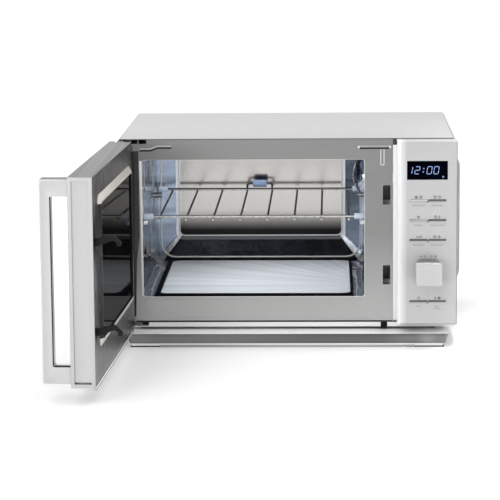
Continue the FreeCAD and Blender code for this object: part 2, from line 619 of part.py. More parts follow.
def cavity_back():
    piece = Piece("cavity_back")
    end, deep = CAVITY_END, f"({CAVITY_END} + back_draw)"
    small = rect(f"{CAVITY_LEFT} + back_slope", f"{CAVITY_RIGHT} - back_slope", "cavity_floor + back_rise",
                 f"{CAVITY_ROOF} - back_slope", "back_corner")
    piece.loft("XZ", end, cavity_outline("sheet"), f"{deep} + sheet", grow(small, "sheet"))
    piece.loft("XZ", end, cavity_outline(), deep, small, grows=False)
    piece.pad("XZ", end, "sheet", cavity_outline("sheet + weld_flange"), cavity_outline("sheet / 2"))


def tile_outline():
    return rect(TILE_LEFT, TILE_RIGHT, "tile_front", TILE_BACK, "tile_corner")


def ceramic_plate():
    piece = Piece("ceramic_plate")
    piece.pad("XY", "cavity_floor", "tile_thick", tile_outline())


def floor_seal():
    piece = Piece("floor_seal")
    inner = grow(tile_outline(), "fit / 2")
    outer = [corner[:2] + ("(tile_corner + seal_width)",) for corner in grow(inner, "seal_width")]
    piece.pad("XY", "cavity_floor", "tile_thick + seal_rise", outer, inner)


def stirrer_well():
    piece = Piece("stirrer_well")
    inner = rect(WELL_LEFT, WELL_RIGHT, WELL_FRONT, WELL_BACK, "well_bend")
    wall = [corner[:2] + ("(well_bend + sheet)",) for corner in grow(inner, "sheet")]
    top = "(cavity_floor - sheet)"
    piece.pad("XY", f"{top} - sheet", "sheet", grow(wall, "weld_flange"), inner)
    piece.pad("XY", WELL_FLOOR, f"{top} - sheet - {WELL_FLOOR}", wall)
    piece.pocket("XY", f"{WELL_FLOOR} + sheet", "well_depth", inner)
    piece.pocket("YZ", f"{WELL_RIGHT} - sheet", "3 * sheet", guide_bore())
    piece.pocket("XY", f"{WELL_FLOOR} - sheet", "3 * sheet", (WELL_X, WELL_Y, "stirrer_shaft_radius + 1"))


GUIDE_LOW = f"({WELL_FLOOR} + sheet + guide_clear)"
GUIDE_HIGH = "(cavity_floor - 2 * sheet - guide_clear)"
GUIDE_START = f"({WELL_RIGHT} + sheet)"
ANTENNA_X = f"({GUIDE_START} + antenna_offset)"


def guide_bore():
    return rect(f"{GUIDE_Y} - guide_width / 2 + sheet", f"{GUIDE_Y} + guide_width / 2 - sheet",
                f"{GUIDE_LOW} + sheet", f"{GUIDE_HIGH} - sheet")


def waveguide():
    piece = Piece("waveguide")
    piece.pad("YZ", GUIDE_START, "guide_reach", grow(guide_bore(), "sheet"))
    piece.pocket("YZ", f"{GUIDE_START} - sheet", "guide_reach", guide_bore())
    piece.pocket("XY", f"{GUIDE_HIGH} - 2 * sheet", "3 * sheet",
                 (ANTENNA_X, GUIDE_Y, "antenna_radius + 3 * sheet"))


def magnetron():
    piece = Piece("magnetron")
    yoke = rect(f"{ANTENNA_X} - magnetron_wide / 2", f"{ANTENNA_X} + magnetron_wide / 2",
                f"{GUIDE_Y} - magnetron_long / 2", f"{GUIDE_Y} + magnetron_long / 2")
    plate = "(2 * sheet)"
    piece.pad("XY", GUIDE_HIGH, plate, yoke)
    piece.pad("XY", f"{GUIDE_HIGH} + {plate}", f"magnetron_high - {plate}",
              (ANTENNA_X, GUIDE_Y, "anode_radius"))
    for side in ("-1", "1"):
        edge = f"{ANTENNA_X} + {side} * magnetron_wide / 2"
        cheek = rect(f"min({edge}; {edge} - {side} * {plate})", f"max({edge}; {edge} - {side} * {plate})",
                     f"{GUIDE_Y} - magnetron_long / 2", f"{GUIDE_Y} + magnetron_long / 2")
        piece.pad("XY", f"{GUIDE_HIGH} + {plate}", f"magnetron_high - 2 * {plate}", cheek)
    piece.pad("XY", f"{GUIDE_HIGH} + magnetron_high - {plate}", plate, yoke)
    step = f"((magnetron_high - 2 * {plate}) / (fin_count + 1))"
    fin = piece.pad("XY", f"{GUIDE_HIGH} + {plate} + {step} - fin_thick / 2", "fin_thick", yoke)
    piece.row([fin], "Z", f"{step} * (fin_count - 1)", "fin_count", grows=True)
    piece.pad("XY", f"{GUIDE_HIGH} + magnetron_high", "filter_box", grow(yoke, "-magnetron_wide / 10"))
    piece.pad("XY", f"{GUIDE_LOW} + 2 * sheet", f"{GUIDE_HIGH} - {GUIDE_LOW} - 2 * sheet",
              (ANTENNA_X, GUIDE_Y, "antenna_radius"))


def hv_transformer():
    piece = Piece("hv_transformer")
    core = rect(f"{WORKS_RIGHT} - core_wide", WORKS_RIGHT, "core_front", "core_front + core_deep")
    piece.pad("XY", BASE_TOP, "core_high", core)
    window = "core_wide / 6"
    coil = rect(f"{WORKS_RIGHT} - core_wide + {window}", f"{WORKS_RIGHT} - {window}",
                "core_front - coil_bulge",
                "core_front + core_deep + coil_bulge", "(coil_bulge * 0.8)")
    piece.pad("XY", f"{BASE_TOP} + core_high / 5", "core_high * 0.28", coil)
    piece.pad("XY", f"{BASE_TOP} + core_high * 0.54", "core_high * 0.28", grow(coil, "-2 * sheet"))


def hv_capacitor():
    piece = Piece("hv_capacitor")
    front, rear = f"{REAR_FACE} - can_rear - can_wide", f"{REAR_FACE} - can_rear"
    can = rect(front, rear, BASE_TOP, f"{BASE_TOP} + can_high", "(can_high * 0.42)")
    piece.pad("YZ", f"{WORKS_RIGHT} - can_long", "can_long", can)
    tabs = [rect(f"{rear} - can_wide * {share} - can_wide / 16",
                 f"{rear} - can_wide * {share} + can_wide / 16",
                 f"{BASE_TOP} + can_high / 2 - sheet / 2", f"{BASE_TOP} + can_high / 2 + sheet / 2")
            for share in (0.3, 0.7)]
    piece.pad("YZ", f"{WORKS_RIGHT} - can_long - can_high / 4", "can_high / 4", *tabs)


def fan_shroud():
    piece = Piece("fan_shroud")
    reach = "(fan_radius + tip_gap)"
    plate = rect(f"{FAN_X} - {reach} - shroud_margin", f"{FAN_X} + {reach} + shroud_margin", BASE_TOP,
                 f"fan_level + {reach} + shroud_margin")
    hole = (FAN_X, "fan_level", reach)
    piece.pad("XZ", SHROUD_FACE, "shroud_thick", plate, hole)
    piece.pad("XZ", f"{SHROUD_FACE} - fan_deep", "fan_deep", (FAN_X, "fan_level", f"{reach} + shroud_thick"),
              hole)
    strut = f"({SHROUD_FACE} + motor_long)"
    low, high = "fan_level - strut_wide / 2", "fan_level + strut_wide / 2"
    ends = [rect(f"{FAN_X} - {reach} - shroud_margin", f"{FAN_X} - {reach}", low, high),
            rect(f"{FAN_X} + {reach}", f"{FAN_X} + {reach} + shroud_margin", low, high)]
    piece.pad("XZ", f"{SHROUD_FACE} + shroud_thick", "motor_long - shroud_thick", *ends)
    piece.pad("XZ", strut, "shroud_thick",
              rect(f"{FAN_X} - {reach} - shroud_margin", f"{FAN_X} + {reach} + shroud_margin", low, high))


def fan_motor():
    piece = Piece("fan_motor")
    axis = (FAN_X, "fan_level")
    piece.pad("XZ", f"{SHROUD_FACE} + shroud_thick", "motor_long - shroud_thick", axis + ("motor_radius",))
    piece.pad("XZ", SHROUD_FACE, "shroud_thick", axis + ("motor_radius / 3",))
    piece.pocket("XZ", f"{SHROUD_FACE} - shroud_thick", "motor_long", axis + ("fan_shaft + running",))


def fan_wheel():
    spot = FreeCAD.Placement(FreeCAD.Vector(value(FAN_X), 0, value("fan_level")), FreeCAD.Rotation())
    piece = Piece("fan_wheel", OVEN * spot)
    front = f"({SHROUD_FACE} - fan_deep - shroud_thick)"
    middle = f"({front} + fan_deep / 2)"
    piece.revolve("XY", "0", ("0", front), "V_Axis",
                  [("0", "0"), ("fan_hub - 3", "0", "2"), ("fan_hub", "4", "2"), ("fan_hub", "fan_deep"),
                   ("0", "fan_deep")])
    piece.pad("XZ", f"{front} + fan_deep", "motor_long * 0.8", ("0", "0", "fan_shaft"))

    def section(angle):
        """A blade section: a thin strip turned by the blade angle about the wheel's middle plane."""
        run, lift = f"cos({angle} * 1 deg)", f"sin({angle} * 1 deg)"
        corners = []
        for along, across in ((-0.5, -0.5), (0.5, -0.5), (0.5, 0.5), (-0.5, 0.5)):
            chord, thick = f"({along} * blade_chord)", f"({across} * blade_thick)"
            corners.append((f"{middle} + {chord} * {lift} + {thick} * {run}",
                            f"{chord} * {run} - {thick} * {lift}"))
        return corners
    blade = piece.loft("YZ", "fan_hub - blade_thick", section("fan_pitch_root"), "fan_radius",
                       section("fan_pitch_tip"))
    piece.ring([blade], "Y", "fan_blades")


def stirrer_motor():
    piece = Piece("stirrer_motor")
    axis = (WELL_X, WELL_Y)
    gap = f"({WELL_FLOOR} - {BASE_TOP})"
    piece.pad("XY", f"{BASE_TOP} + fit", f"{gap} - fit", axis + ("stirrer_motor_radius",))
    ear = rect(f"{WELL_X} - stirrer_motor_radius * 1.4", f"{WELL_X} + stirrer_motor_radius * 1.4",
               f"{WELL_Y} - stirrer_motor_radius / 4", f"{WELL_Y} + stirrer_motor_radius / 4")
    piece.pad("XY", f"{WELL_FLOOR} - sheet", "sheet", ear)
    piece.pocket("XY", f"{WELL_FLOOR} - {gap} / 2", f"{gap}", axis + ("stirrer_shaft_radius + running",))


def stirrer_blade():
    piece = Piece("stirrer_blade")
    level = f"({WELL_FLOOR} + sheet + stirrer_lift)"
    blade = rect(f"{WELL_X} - stirrer_span / 2", f"{WELL_X} + stirrer_span / 2",
                 f"{WELL_Y} - stirrer_width / 2",
                 f"{WELL_Y} + stirrer_width / 2", "(stirrer_width / 4)")
    piece.pad("XY", level, "sheet", blade)
    piece.pad("XY", f"{WELL_FLOOR} - ({WELL_FLOOR} - {BASE_TOP}) * 0.45",
              f"({WELL_FLOOR} - {BASE_TOP}) * 0.45 + sheet + stirrer_lift",
              (WELL_X, WELL_Y, "stirrer_shaft_radius"))
    for side in ("-1", "1"):
        end = f"{WELL_X} + {side} * stirrer_span / 2 * 0.8"
        piece.pad("XY", f"{level} + sheet", "stirrer_lift / 2",
                  rect(f"{end} - sheet", f"{end} + sheet", f"{WELL_Y} - stirrer_width / 3",
                       f"{WELL_Y} + stirrer_width / 3"))


def grill_outline():
    middle = f"(({CAVITY_LEFT} + {CAVITY_RIGHT}) / 2)"
    return rect(f"{middle} - grill_long / 2", f"{middle} + grill_long / 2", "grill_front",
                "grill_front + grill_deep")


GRILL_BASE = f"({CAVITY_ROOF} + sheet)"


def grill_screen():
    piece = Piece("grill_screen")
    piece.pad("XY", GRILL_BASE, "sheet", grow(grill_outline(), "weld_flange / 2"))
    (left, front), (right, rear) = grow(grill_outline(), "-weld_flange - sheet")[0], \
        grow(grill_outline(), "-weld_flange - sheet")[2]
    slot = piece.pocket("XY", f"{GRILL_BASE} - sheet", "3 * sheet",
                        rect(left, right, front, f"{front} + grill_slot_wide"))
    count = int((value(rear) - value(front) - value("grill_slot_wide")) / value("grill_slot_pitch")) + 1
    piece.row([slot], "Y", f"grill_slot_pitch * {count - 1}", count, grows=False)


def grill_reflector():
    piece = Piece("grill_reflector")
    base = f"({GRILL_BASE} + sheet)"
    piece.pad("XY", base, "sheet", grow(grill_outline(), "weld_flange / 2"), grow(grill_outline(), "-sheet"))
    piece.loft("XY", base, grill_outline(), f"{base} + grill_high", grow(grill_outline(), "-grill_high / 3"))
    piece.loft("XY", base, grow(grill_outline(), "-sheet"), f"{base} + grill_high - sheet",
               grow(grill_outline(), "-grill_high / 3 - sheet"), grows=False)


def grill_heater():
    piece = Piece("grill_heater")
    left, right = grill_outline()[0][0], grill_outline()[1][0]
    inset = "(grill_high / 3 + 2 * sheet)"
    level = f"({GRILL_BASE} + sheet + heater_radius + fit)"
    rows = [f"(grill_front + grill_deep / 2 {sign} heater_spread / 2)" for sign in "-+"]
    piece.pad("YZ", f"{left} + {inset}", f"grill_long - 2 * {inset}",
              *[(row, level, "heater_radius") for row in rows])


def oven_lamp():
    piece = Piece("oven_lamp")
    wall = WORKS_LEFT
    spot = LAMP
    piece.pad("YZ", wall, "2 * sheet", spot + ("lamp_hole + 3 * sheet",))
    piece.pad("YZ", f"{wall} + 2 * sheet", "lamp_long", spot + ("lamp_body",))
    piece.pad("YZ", f"{wall} - sheet", "sheet", spot + ("lamp_hole - 4 * sheet",))


def lamp_dome():
    spot = FreeCAD.Placement(FreeCAD.Vector(0, value(LAMP[0]), value(LAMP[1])), FreeCAD.Rotation())
    piece = Piece("lamp_dome", OVEN * spot)
    flare = "(dome_rise * 1.1)"
    piece.revolve("XY", "0", (CAVITY_RIGHT, "0"), "H_Axis",
                  [("0", "dome_radius"), ("-sheet", "dome_radius"),
                   ("-dome_rise", "dome_radius - dome_rise", flare),
                   ("-dome_rise", "0"), ("-dome_rise + sheet", "0"),
                   ("-dome_rise + sheet", "dome_radius - dome_rise - sheet", f"({flare} - sheet)"),
                   ("0", "dome_radius - 2 * sheet")])


def rack_studs():
    piece = Piece("rack_studs")
    level = f"({RACK_Z} - sleeve_radius - stud_radius - fit)"
    spots = [(place, level, "stud_radius") for place in ("rack_front", RACK_REAR)]
    piece.pad("YZ", CAVITY_LEFT, "stud_long", *spots)
    piece.pad("YZ", f"{CAVITY_RIGHT} - stud_long", "stud_long", *spots)


def rack():
    piece = Piece("rack")
    bars = [("rack_front", RACK_Z, "rack_bar"), (RACK_REAR, RACK_Z, "rack_bar")]
    piece.pad("YZ", RACK_LEFT, f"{RACK_RIGHT} - {RACK_LEFT}", *bars)
    level = f"({RACK_Z} - rack_bar - rack_wire + weld_sink)"
    first, last = f"({RACK_LEFT} + rack_inset)", f"({RACK_RIGHT} - rack_inset)"
    wire = piece.pad("XZ", "rack_front - wire_overhang", f"{RACK_REAR} - rack_front + 2 * wire_overhang",
                     (first, level, "rack_wire"))
    piece.row([wire], "X", f"{last} - {first}", "rack_wires", grows=True)
    middle = f"(({RACK_LEFT} + {RACK_RIGHT}) / 2)"
    side = "(2 * rack_wire)"
    back, up = f"({RACK_REAR} + bail_back)", f"({RACK_Z} + bail_rise)"
    for start in (f"{middle} - bail_wide / 2 - {side}", f"{middle} + bail_wide / 2"):
        piece.pad("YZ", start, side,
                  [(RACK_REAR, f"{RACK_Z} - rack_wire"), (f"{RACK_REAR} + rack_wire",
                                                          f"{RACK_Z} - rack_wire"),
                   (f"{back} + rack_wire", f"{up} - rack_wire"), (f"{back} + rack_wire", f"{up} + rack_wire"),
                   (f"{back} - rack_wire", f"{up} + rack_wire"), (RACK_REAR, f"{RACK_Z} + rack_wire")])
    piece.pad("YZ", f"{middle} - bail_wide / 2", "bail_wide", (back, up, "rack_wire"))


def rack_sleeves():
    piece = Piece("rack_sleeves")
    for start in (RACK_LEFT, f"{RACK_RIGHT} - sleeve_long"):
        for place in ("rack_front", RACK_REAR):
            piece.pad("YZ", start, "sleeve_long", (place, RACK_Z, "sleeve_radius"),
                      (place, RACK_Z, "rack_bar + running"))
    middle = f"(({RACK_LEFT} + {RACK_RIGHT}) / 2)"
    bail = (f"({RACK_REAR} + bail_back)", f"({RACK_Z} + bail_rise)")
    piece.pad("YZ", f"{middle} - bail_grip_long / 2", "bail_grip_long", bail + ("bail_grip",),
              bail + ("rack_wire + running",))


def base_pan():
    piece = Piece("base_pan")
    left = f"(-{INNER_RIGHT})"
    piece.pad("XY", "base_level", "sheet", rect(left, INNER_RIGHT, "0", REAR_FACE))
    flange_left = f"({left} + bracket_long + side_gap / 3)"
    piece.pad("XZ", "0", "sheet", rect(flange_left, INNER_RIGHT, BASE_TOP, "base_level + base_flange"))
    for start in (left, f"({INNER_RIGHT} - sheet)"):
        piece.pad("XY", BASE_TOP, "base_wall", rect(start, f"{start} + sheet", "2 * sheet", REAR_FACE))
    slot = piece.pocket("XY", "base_level - sheet", "3 * sheet",
                        rect(f"{WORKS_LEFT} + vent_pitch", f"{WORKS_LEFT} + vent_pitch + vent_slot_wide",
                             "core_front + core_deep + coil_bulge + vent_pitch",
                             "core_front + core_deep + coil_bulge + vent_pitch + vent_slot_long"))
    piece.row([slot], "X", "(base_vents - 1) * vent_pitch", "base_vents", grows=False)


PLINTH_FRONT = PANEL_FRONT
PLINTH_END = "(case_width / 2 - plinth_side)"
PLINTH_BACK = "(case_depth - plinth_rear)"


def plinth():
    piece = Piece("plinth")
    crown = rect(f"(-{PLINTH_END})", PLINTH_END, PLINTH_FRONT, PLINTH_BACK, "case_bend")
    sole = rect(f"(plinth_batter - {PLINTH_END})", f"({PLINTH_END} - plinth_batter)", PLINTH_FRONT,
                PLINTH_BACK,
                "case_bend")
    piece.loft("XY", "plinth_foot", sole, "plinth_top", crown)
    piece.pad("XY", "plinth_top", "base_level - plinth_top",
              rect(f"(neck_side - {PLINTH_END})", f"({PLINTH_END} - neck_side)", "neck_front",
                   f"{PLINTH_BACK} - neck_side"))
    hollow_side = f"({PLINTH_END} - plinth_batter - foot_long - 2 * foot_inset - plinth_wall)"
    piece.pocket("XY", "plinth_foot - plinth_wall", "plinth_top - plinth_foot + plinth_wall - plinth_roof",
                 rect(f"(-{hollow_side})", "(-plinth_wall / 2)", f"{PLINTH_FRONT} + plinth_wall",
                      f"{PLINTH_BACK} - plinth_wall"),
                 rect("(plinth_wall / 2)", hollow_side, f"{PLINTH_FRONT} + plinth_wall",
                      f"{PLINTH_BACK} - plinth_wall"))


def feet():
    piece = Piece("feet")
    outer = f"({PLINTH_END} - plinth_batter - foot_inset)"
    inner = f"({outer} - foot_long)"
    outlines = []
    for sign in ("-", ""):
        ends = [f"({sign}{outer})", f"({sign}{inner})"]
        bevels = ["foot_bevel", "-foot_bevel"] if sign else ["-foot_bevel", "foot_bevel"]
        outlines.append([(ends[0], "plinth_foot"), (f"({ends[0]} + {bevels[0]})", "0"),
                         (f"({ends[1]} + {bevels[1]})", "0"), (ends[1], "plinth_foot")])
    piece.pad("XZ", f"{PLINTH_FRONT} + foot_inset", "foot_deep", *outlines)
    piece.pad("XZ", f"{PLINTH_BACK} - foot_inset - foot_deep", "foot_deep", *outlines)


GLAND = ("(case_width / 2 - gland_side)", "gland_level")


def rear_screw_spots():
    left, right = f"(-{INNER_RIGHT} + screw_inset)", f"({INNER_RIGHT} - screw_inset)"
    low, high = f"({BASE_TOP} + screw_inset)", f"({INNER_TOP} - screw_inset)"
    middle = f"(({low} + {high}) / 2)"
    spots = [(side, level) for side in (left, right) for level in (low, middle, high)]
    return spots + [("0", low), ("0", high)]


def rear_panel():
    piece = Piece("rear_panel")
    holes = [spot + ("screw_shank + fit",) for spot in rear_screw_spots()]
    piece.pad("XZ", REAR_FACE, "sheet", rect(f"(-{INNER_RIGHT})", INNER_RIGHT, "base_level", INNER_TOP,
                                             "fit", "case_bend"),
              GLAND + ("gland_radius",), *holes)
    slot_end = "(vent_slot_wide / 2 - 0.1)"
    start = f"({FAN_X} - (rear_vents - 1) / 2 * vent_pitch - vent_slot_wide / 2)"
    lows = [f"(fan_level + ({step}) * (vent_slot_long + vent_pitch) - vent_slot_long / 2)"
            for step in ("-1", "0", "1")]
    slots = [rect(start, f"{start} + vent_slot_wide", low, f"{low} + vent_slot_long", slot_end)
             for low in lows]
    vents = piece.pocket("XZ", f"{REAR_FACE} - sheet", "3 * sheet", *slots)
    piece.row([vents], "X", "(rear_vents - 1) * vent_pitch", "rear_vents", grows=False)


def cord_gland():
    piece = Piece("cord_gland")
    face = f"({REAR_FACE} + sheet)"
    piece.pad("XZ", REAR_FACE, "sheet", GLAND + ("gland_radius - running",), GLAND + ("gland_bore",))
    piece.pad("XZ", face, "rear_inset - sheet", GLAND + ("gland_radius * 1.4",), GLAND + ("gland_bore",))
    piece.pad("XZ", f"{REAR_FACE} - 4 * sheet", "4 * sheet", GLAND + ("gland_radius * 1.2",),
              GLAND + ("gland_bore",))


def rear_screws():
    piece = Piece("rear_screws")
    spots = rear_screw_spots()
    piece.pad("XZ", f"{REAR_FACE} + sheet", "screw_rise", *[spot + ("screw_head",) for spot in spots])
    piece.pad("XZ", f"{REAR_FACE} - 6 * sheet", "7 * sheet", *[spot + ("screw_shank",) for spot in spots])


def bumper_clip():
    piece = Piece("bumper_clip")
    front = "(-door_gap + fit)"
    low = "(base_level - 1.5 * sheet)"
    piece.pad("YZ", f"{PANEL_LEFT} - clip_left - clip_long / 2", "clip_long",
              [(front, low), ("clip_deep", low), ("clip_deep", "base_level"), ("0", "base_level"),
               ("0", "plate_foot - fit"), (front, "plate_foot - fit")])


NOTCH_RIGHT = f"({HINGE_X} + arm_half + arm_space)"
NOTCH_FRONT = f"({HINGE_Y} - arm_half - 2.5 * arm_space)"
NOTCH_TOP_LOW = f"({ARM_TOP} - arm_thick - arm_space)"
NOTCH_LOW_TOP = f"({ARM_LOW} + arm_thick + arm_space)"
ARM_SIDE = f"({HINGE_X} - arm_half / 2 - running)"


def hinge_arm(piece, level, back):
    """Flat arm with a round end about the pin, reaching back through the front plate."""
    piece.pad("XY", level, "arm_thick", (HINGE_X, HINGE_Y, "arm_half"))
    piece.pad("XY", level, "arm_thick", rect(ARM_SIDE, f"{HINGE_X} + arm_half", HINGE_Y, back))


def upper_hinge():
    piece = Piece("upper_hinge")
    level = f"({ARM_TOP} - arm_thick)"
    hinge_arm(piece, level, "3 * sheet")
    piece.pad("XZ", "sheet", "2 * sheet",
              rect(ARM_SIDE, f"{ARM_SIDE} + bracket_long * 0.6", f"{level} - bracket_long",
                   f"{level} + arm_thick"))
    piece.pad("XY", f"{level} - pin_long", "pin_long", (HINGE_X, HINGE_Y, "pin_radius"))


def lower_hinge():
    piece = Piece("lower_hinge")
    hinge_arm(piece, ARM_LOW, "bracket_deep")
    side = f"({ARM_SIDE} + bracket_long)"
    piece.pad("XY", ARM_LOW, "arm_thick", rect(f"{HINGE_X} + arm_half", side, "fit", "bracket_deep"))
    piece.pad("XZ", "fit", "2 * sheet", rect(f"{side} - bracket_long * 0.6", side, ARM_LOW,
                                             "plate_foot - fit"))
    piece.pad("XY", f"{ARM_LOW} + arm_thick", "pin_long", (HINGE_X, HINGE_Y, "pin_radius"))


def handle_spots():
    middle = f"({DOOR_RIGHT} - handle_side - handle_width / 2)"
    return [(middle, "door_foot + handle_low + handle_arm / 2"),
            (middle, f"{DOOR_TOP} - handle_top - handle_arm / 2")]


def door_frame():
    piece = Piece("door_frame", DOOR)
    piece.pad("XY", "door_foot", f"{DOOR_TOP} - door_foot",
              [(DOOR_LEFT, DOOR_FRONT, "door_corner"), (DOOR_RIGHT, DOOR_FRONT, "door_corner"),
               (DOOR_RIGHT, "-door_gap", "(door_corner / 2)"), (DOOR_LEFT, "-door_gap", "door_heel")])
    inside = rect(f"{DOOR_LEFT} + door_wall", f"{DOOR_RIGHT} - door_wall", "door_foot + door_sill",
                  f"{DOOR_TOP} - door_wall")
    piece.pocket("XZ", f"{DOOR_FRONT} + door_face", "door_thick", inside)
    piece.pad("XZ", "-door_gap - lip_thick", "lip_thick",
              rect(f"{DOOR_LEFT} + door_heel", f"{DOOR_RIGHT} - door_corner", "door_foot - lip_drop",
                   "door_foot + door_sill / 2"))
    boss = rect(f"{DOOR_LEFT} + door_wall / 2", f"{HINGE_X} + boss_size / 2", f"{HINGE_Y} - boss_size / 2",
                f"{HINGE_Y} + boss_size / 2")
    piece.pad("XY", f"{NOTCH_TOP_LOW} - boss_long",
              f"boss_long + {DOOR_TOP} - {NOTCH_TOP_LOW} - door_wall / 2", boss)
    piece.pad("XY", "door_foot + door_wall / 2", f"boss_long + {NOTCH_LOW_TOP} - door_foot", boss)
    corner = rect(f"{DOOR_LEFT} - sheet", NOTCH_RIGHT, NOTCH_FRONT, "sheet")
    piece.pocket("XY", NOTCH_TOP_LOW, "arm_thick + 2 * arm_space", corner)
    piece.pocket("XY", "door_foot - 2 * lip_drop", f"{NOTCH_LOW_TOP} - door_foot + 2 * lip_drop", corner)
    bore = (HINGE_X, HINGE_Y, "bush_radius + running")
    depth = "(pin_long + arm_space)"
    piece.pocket("XY", f"{NOTCH_TOP_LOW} - {depth}", depth, bore)
    piece.pocket("XY", NOTCH_LOW_TOP, depth, bore)
    pane = pane_outline()
    piece.pocket("XZ", DOOR_FRONT, "pane_thick", pane)
    piece.pocket("XZ", DOOR_FRONT, "2 * door_face", grow(pane, "-pane_ledge"))
    piece.pocket("YZ", f"{DOOR_RIGHT} - edge_recess", "2 * edge_recess",
                 rect(f"{DOOR_FRONT} + edge_border", "-door_gap - edge_border", "door_foot + edge_border",
                      f"{DOOR_TOP} - edge_border"))
    piece.pocket("XZ", DOOR_FRONT, "2 * door_face", *[spot + ("screw_shank + fit",)
                                                      for spot in handle_spots()])


def pane_outline():
    return rect(f"{DOOR_LEFT} + pane_border", f"{DOOR_RIGHT} - pane_border", "door_foot + pane_border",
                f"{DOOR_TOP} - pane_border", "door_heel")


def door_glass():
    piece = Piece("door_glass", DOOR)
    piece.pad("XZ", DOOR_FRONT, "pane_thick", grow(pane_outline(), "-fit"))


PANEL_BACK = "(-door_gap - panel_sheet)"
GLASS_FACE = "(glass_thick - door_gap)"


def raised_outline():
    return rect(f"{OPEN_LEFT} + raise_inset", f"{OPEN_RIGHT} - raise_inset", f"{OPEN_LOW} + raise_inset",
                f"{OPEN_HIGH} - raise_inset", "(opening_corner + raise_bevel)")


def glass_outline():
    return grow(raised_outline(), "-raise_bevel - raise_rim")


def hook_roots():
    """Lower and upper end of each hook where it comes out of the door panel."""
    return [(f"({nose} - nose_round)", f"({nose} - nose_round + hook_root)")
            for nose in ("hook_high", "(hook_high - hook_drop)")]


def door_panel():
    piece = Piece("door_panel", DOOR)
    left, right = f"({DOOR_LEFT} + door_wall + fit)", f"({DOOR_RIGHT} - door_wall - fit)"
    low, high = "(door_foot + door_sill + fit)", f"({DOOR_TOP} - door_wall - fit)"
    cut_side, cut_low = f"({NOTCH_RIGHT} + fit)", f"({NOTCH_TOP_LOW} - fit)"
    window = grow(glass_outline(), "-window_border")
    slots = [rect(f"{HOOK_X} - hook_thick / 2 - latch_side", f"{HOOK_X} + hook_thick / 2 + latch_side",
                  f"{root} - latch_travel - latch_side", f"{top} + latch_side + latch_travel")
             for root, top in hook_roots()]
    piece.pad("XZ", PANEL_BACK, "panel_sheet",
              [(left, low), (right, low), (right, high), (cut_side, high), (cut_side, cut_low),
               (left, cut_low)],
              window, *slots)
    choke = rect(f"{OPEN_LEFT} - choke_out", f"{OPEN_RIGHT} + choke_out", f"{OPEN_LOW} - choke_out",
                 f"{OPEN_HIGH} + choke_out", "opening_corner")
    piece.pad("XZ", f"{PANEL_BACK} - choke_deep", "choke_deep", choke, grow(choke, "-panel_sheet"))


def choke_frame():
    piece = Piece("choke_frame", DOOR)
    base, top = "-door_gap", "(raise_height - door_gap)"
    foot = raised_outline()
    crown = [corner[:2] + ("opening_corner",) for corner in grow(foot, "-raise_bevel")]
    piece.loft("XZ", base, foot, top, crown)
    hollow_foot = [corner[:2] + ("(opening_corner + raise_bevel - raise_wall)",)
                   for corner in grow(foot, "-raise_wall")]
    hollow = [corner[:2] + ("(opening_corner / 2)",) for corner in grow(crown, "-raise_wall")]
    piece.loft("XZ", base, hollow_foot, f"{top} - raise_wall", hollow, grows=False)
    opening = [corner[:2] + ("(opening_corner / 2)",) for corner in glass_outline()]
    piece.pocket("XZ", f"{top} - 2 * raise_wall", "3 * raise_wall", opening)
    piece.pad("XZ", f"{GLASS_FACE} + fit / 3", f"{top} - {GLASS_FACE} - fit / 3",
              grow(opening, "raise_wall"), opening)


def inner_glass():
    piece = Piece("inner_glass", DOOR)
    pane = [corner[:2] + ("opening_corner",) for corner in grow(glass_outline(), "raise_wall")]
    piece.pad("XZ", "-door_gap", "glass_thick", pane)


def door_screen():
    piece = Piece("door_screen", DOOR)
    piece.pad("XZ", f"{PANEL_BACK} - sheet", "sheet", [corner[:2]
                                                       for corner in grow(glass_outline(), "-sheet")])


def handle():
    piece = Piece("handle", DOOR)
    low, high = "(door_foot + handle_low)", f"({DOOR_TOP} - handle_top)"
    outer, inner = f"({DOOR_FRONT} - handle_reach)", f"({DOOR_FRONT} - handle_reach + handle_bar)"
    piece.pad("YZ", f"{DOOR_RIGHT} - handle_side - handle_width", "handle_width",
              [(outer, low, "handle_round"), (DOOR_FRONT, low), (DOOR_FRONT, f"{low} + handle_arm"),
               (inner, f"{low} + handle_arm", "handle_round"),
               (inner, f"{high} - handle_arm", "handle_round"),
               (DOOR_FRONT, f"{high} - handle_arm"), (DOOR_FRONT, high), (outer, high, "handle_round")])
    piece.pocket("XZ", f"{DOOR_FRONT} - handle_bar", "2 * handle_bar",
                 *[spot + ("screw_shank + running",) for spot in handle_spots()])
    face = value(outer)
    piece.round_edges("handle_round", lambda box: near(box.YMin, face) and near(box.YMax, face)
                      and box.ZLength > value(high) / 2)


def handle_screws():
    piece = Piece("handle_screws", DOOR)
    spots = handle_spots()
    face = f"({DOOR_FRONT} + door_face)"
    piece.pad("XZ", face, "screw_rise", *[spot + ("screw_head",) for spot in spots])
    piece.pad("XZ", f"{DOOR_FRONT} - handle_bar * 0.8", "handle_bar * 0.8 + door_face",
              *[spot + ("screw_shank",) for spot in spots])


def hinge_bushes():
    piece = Piece("hinge_bushes", DOOR)
    axis = (HINGE_X, HINGE_Y)
    ring = (axis + ("bush_radius",), axis + ("pin_radius + running",))
    piece.pad("XY", f"{NOTCH_TOP_LOW} - pin_long", "pin_long", *ring)
    piece.pad("XY", NOTCH_LOW_TOP, "pin_long", *ring)


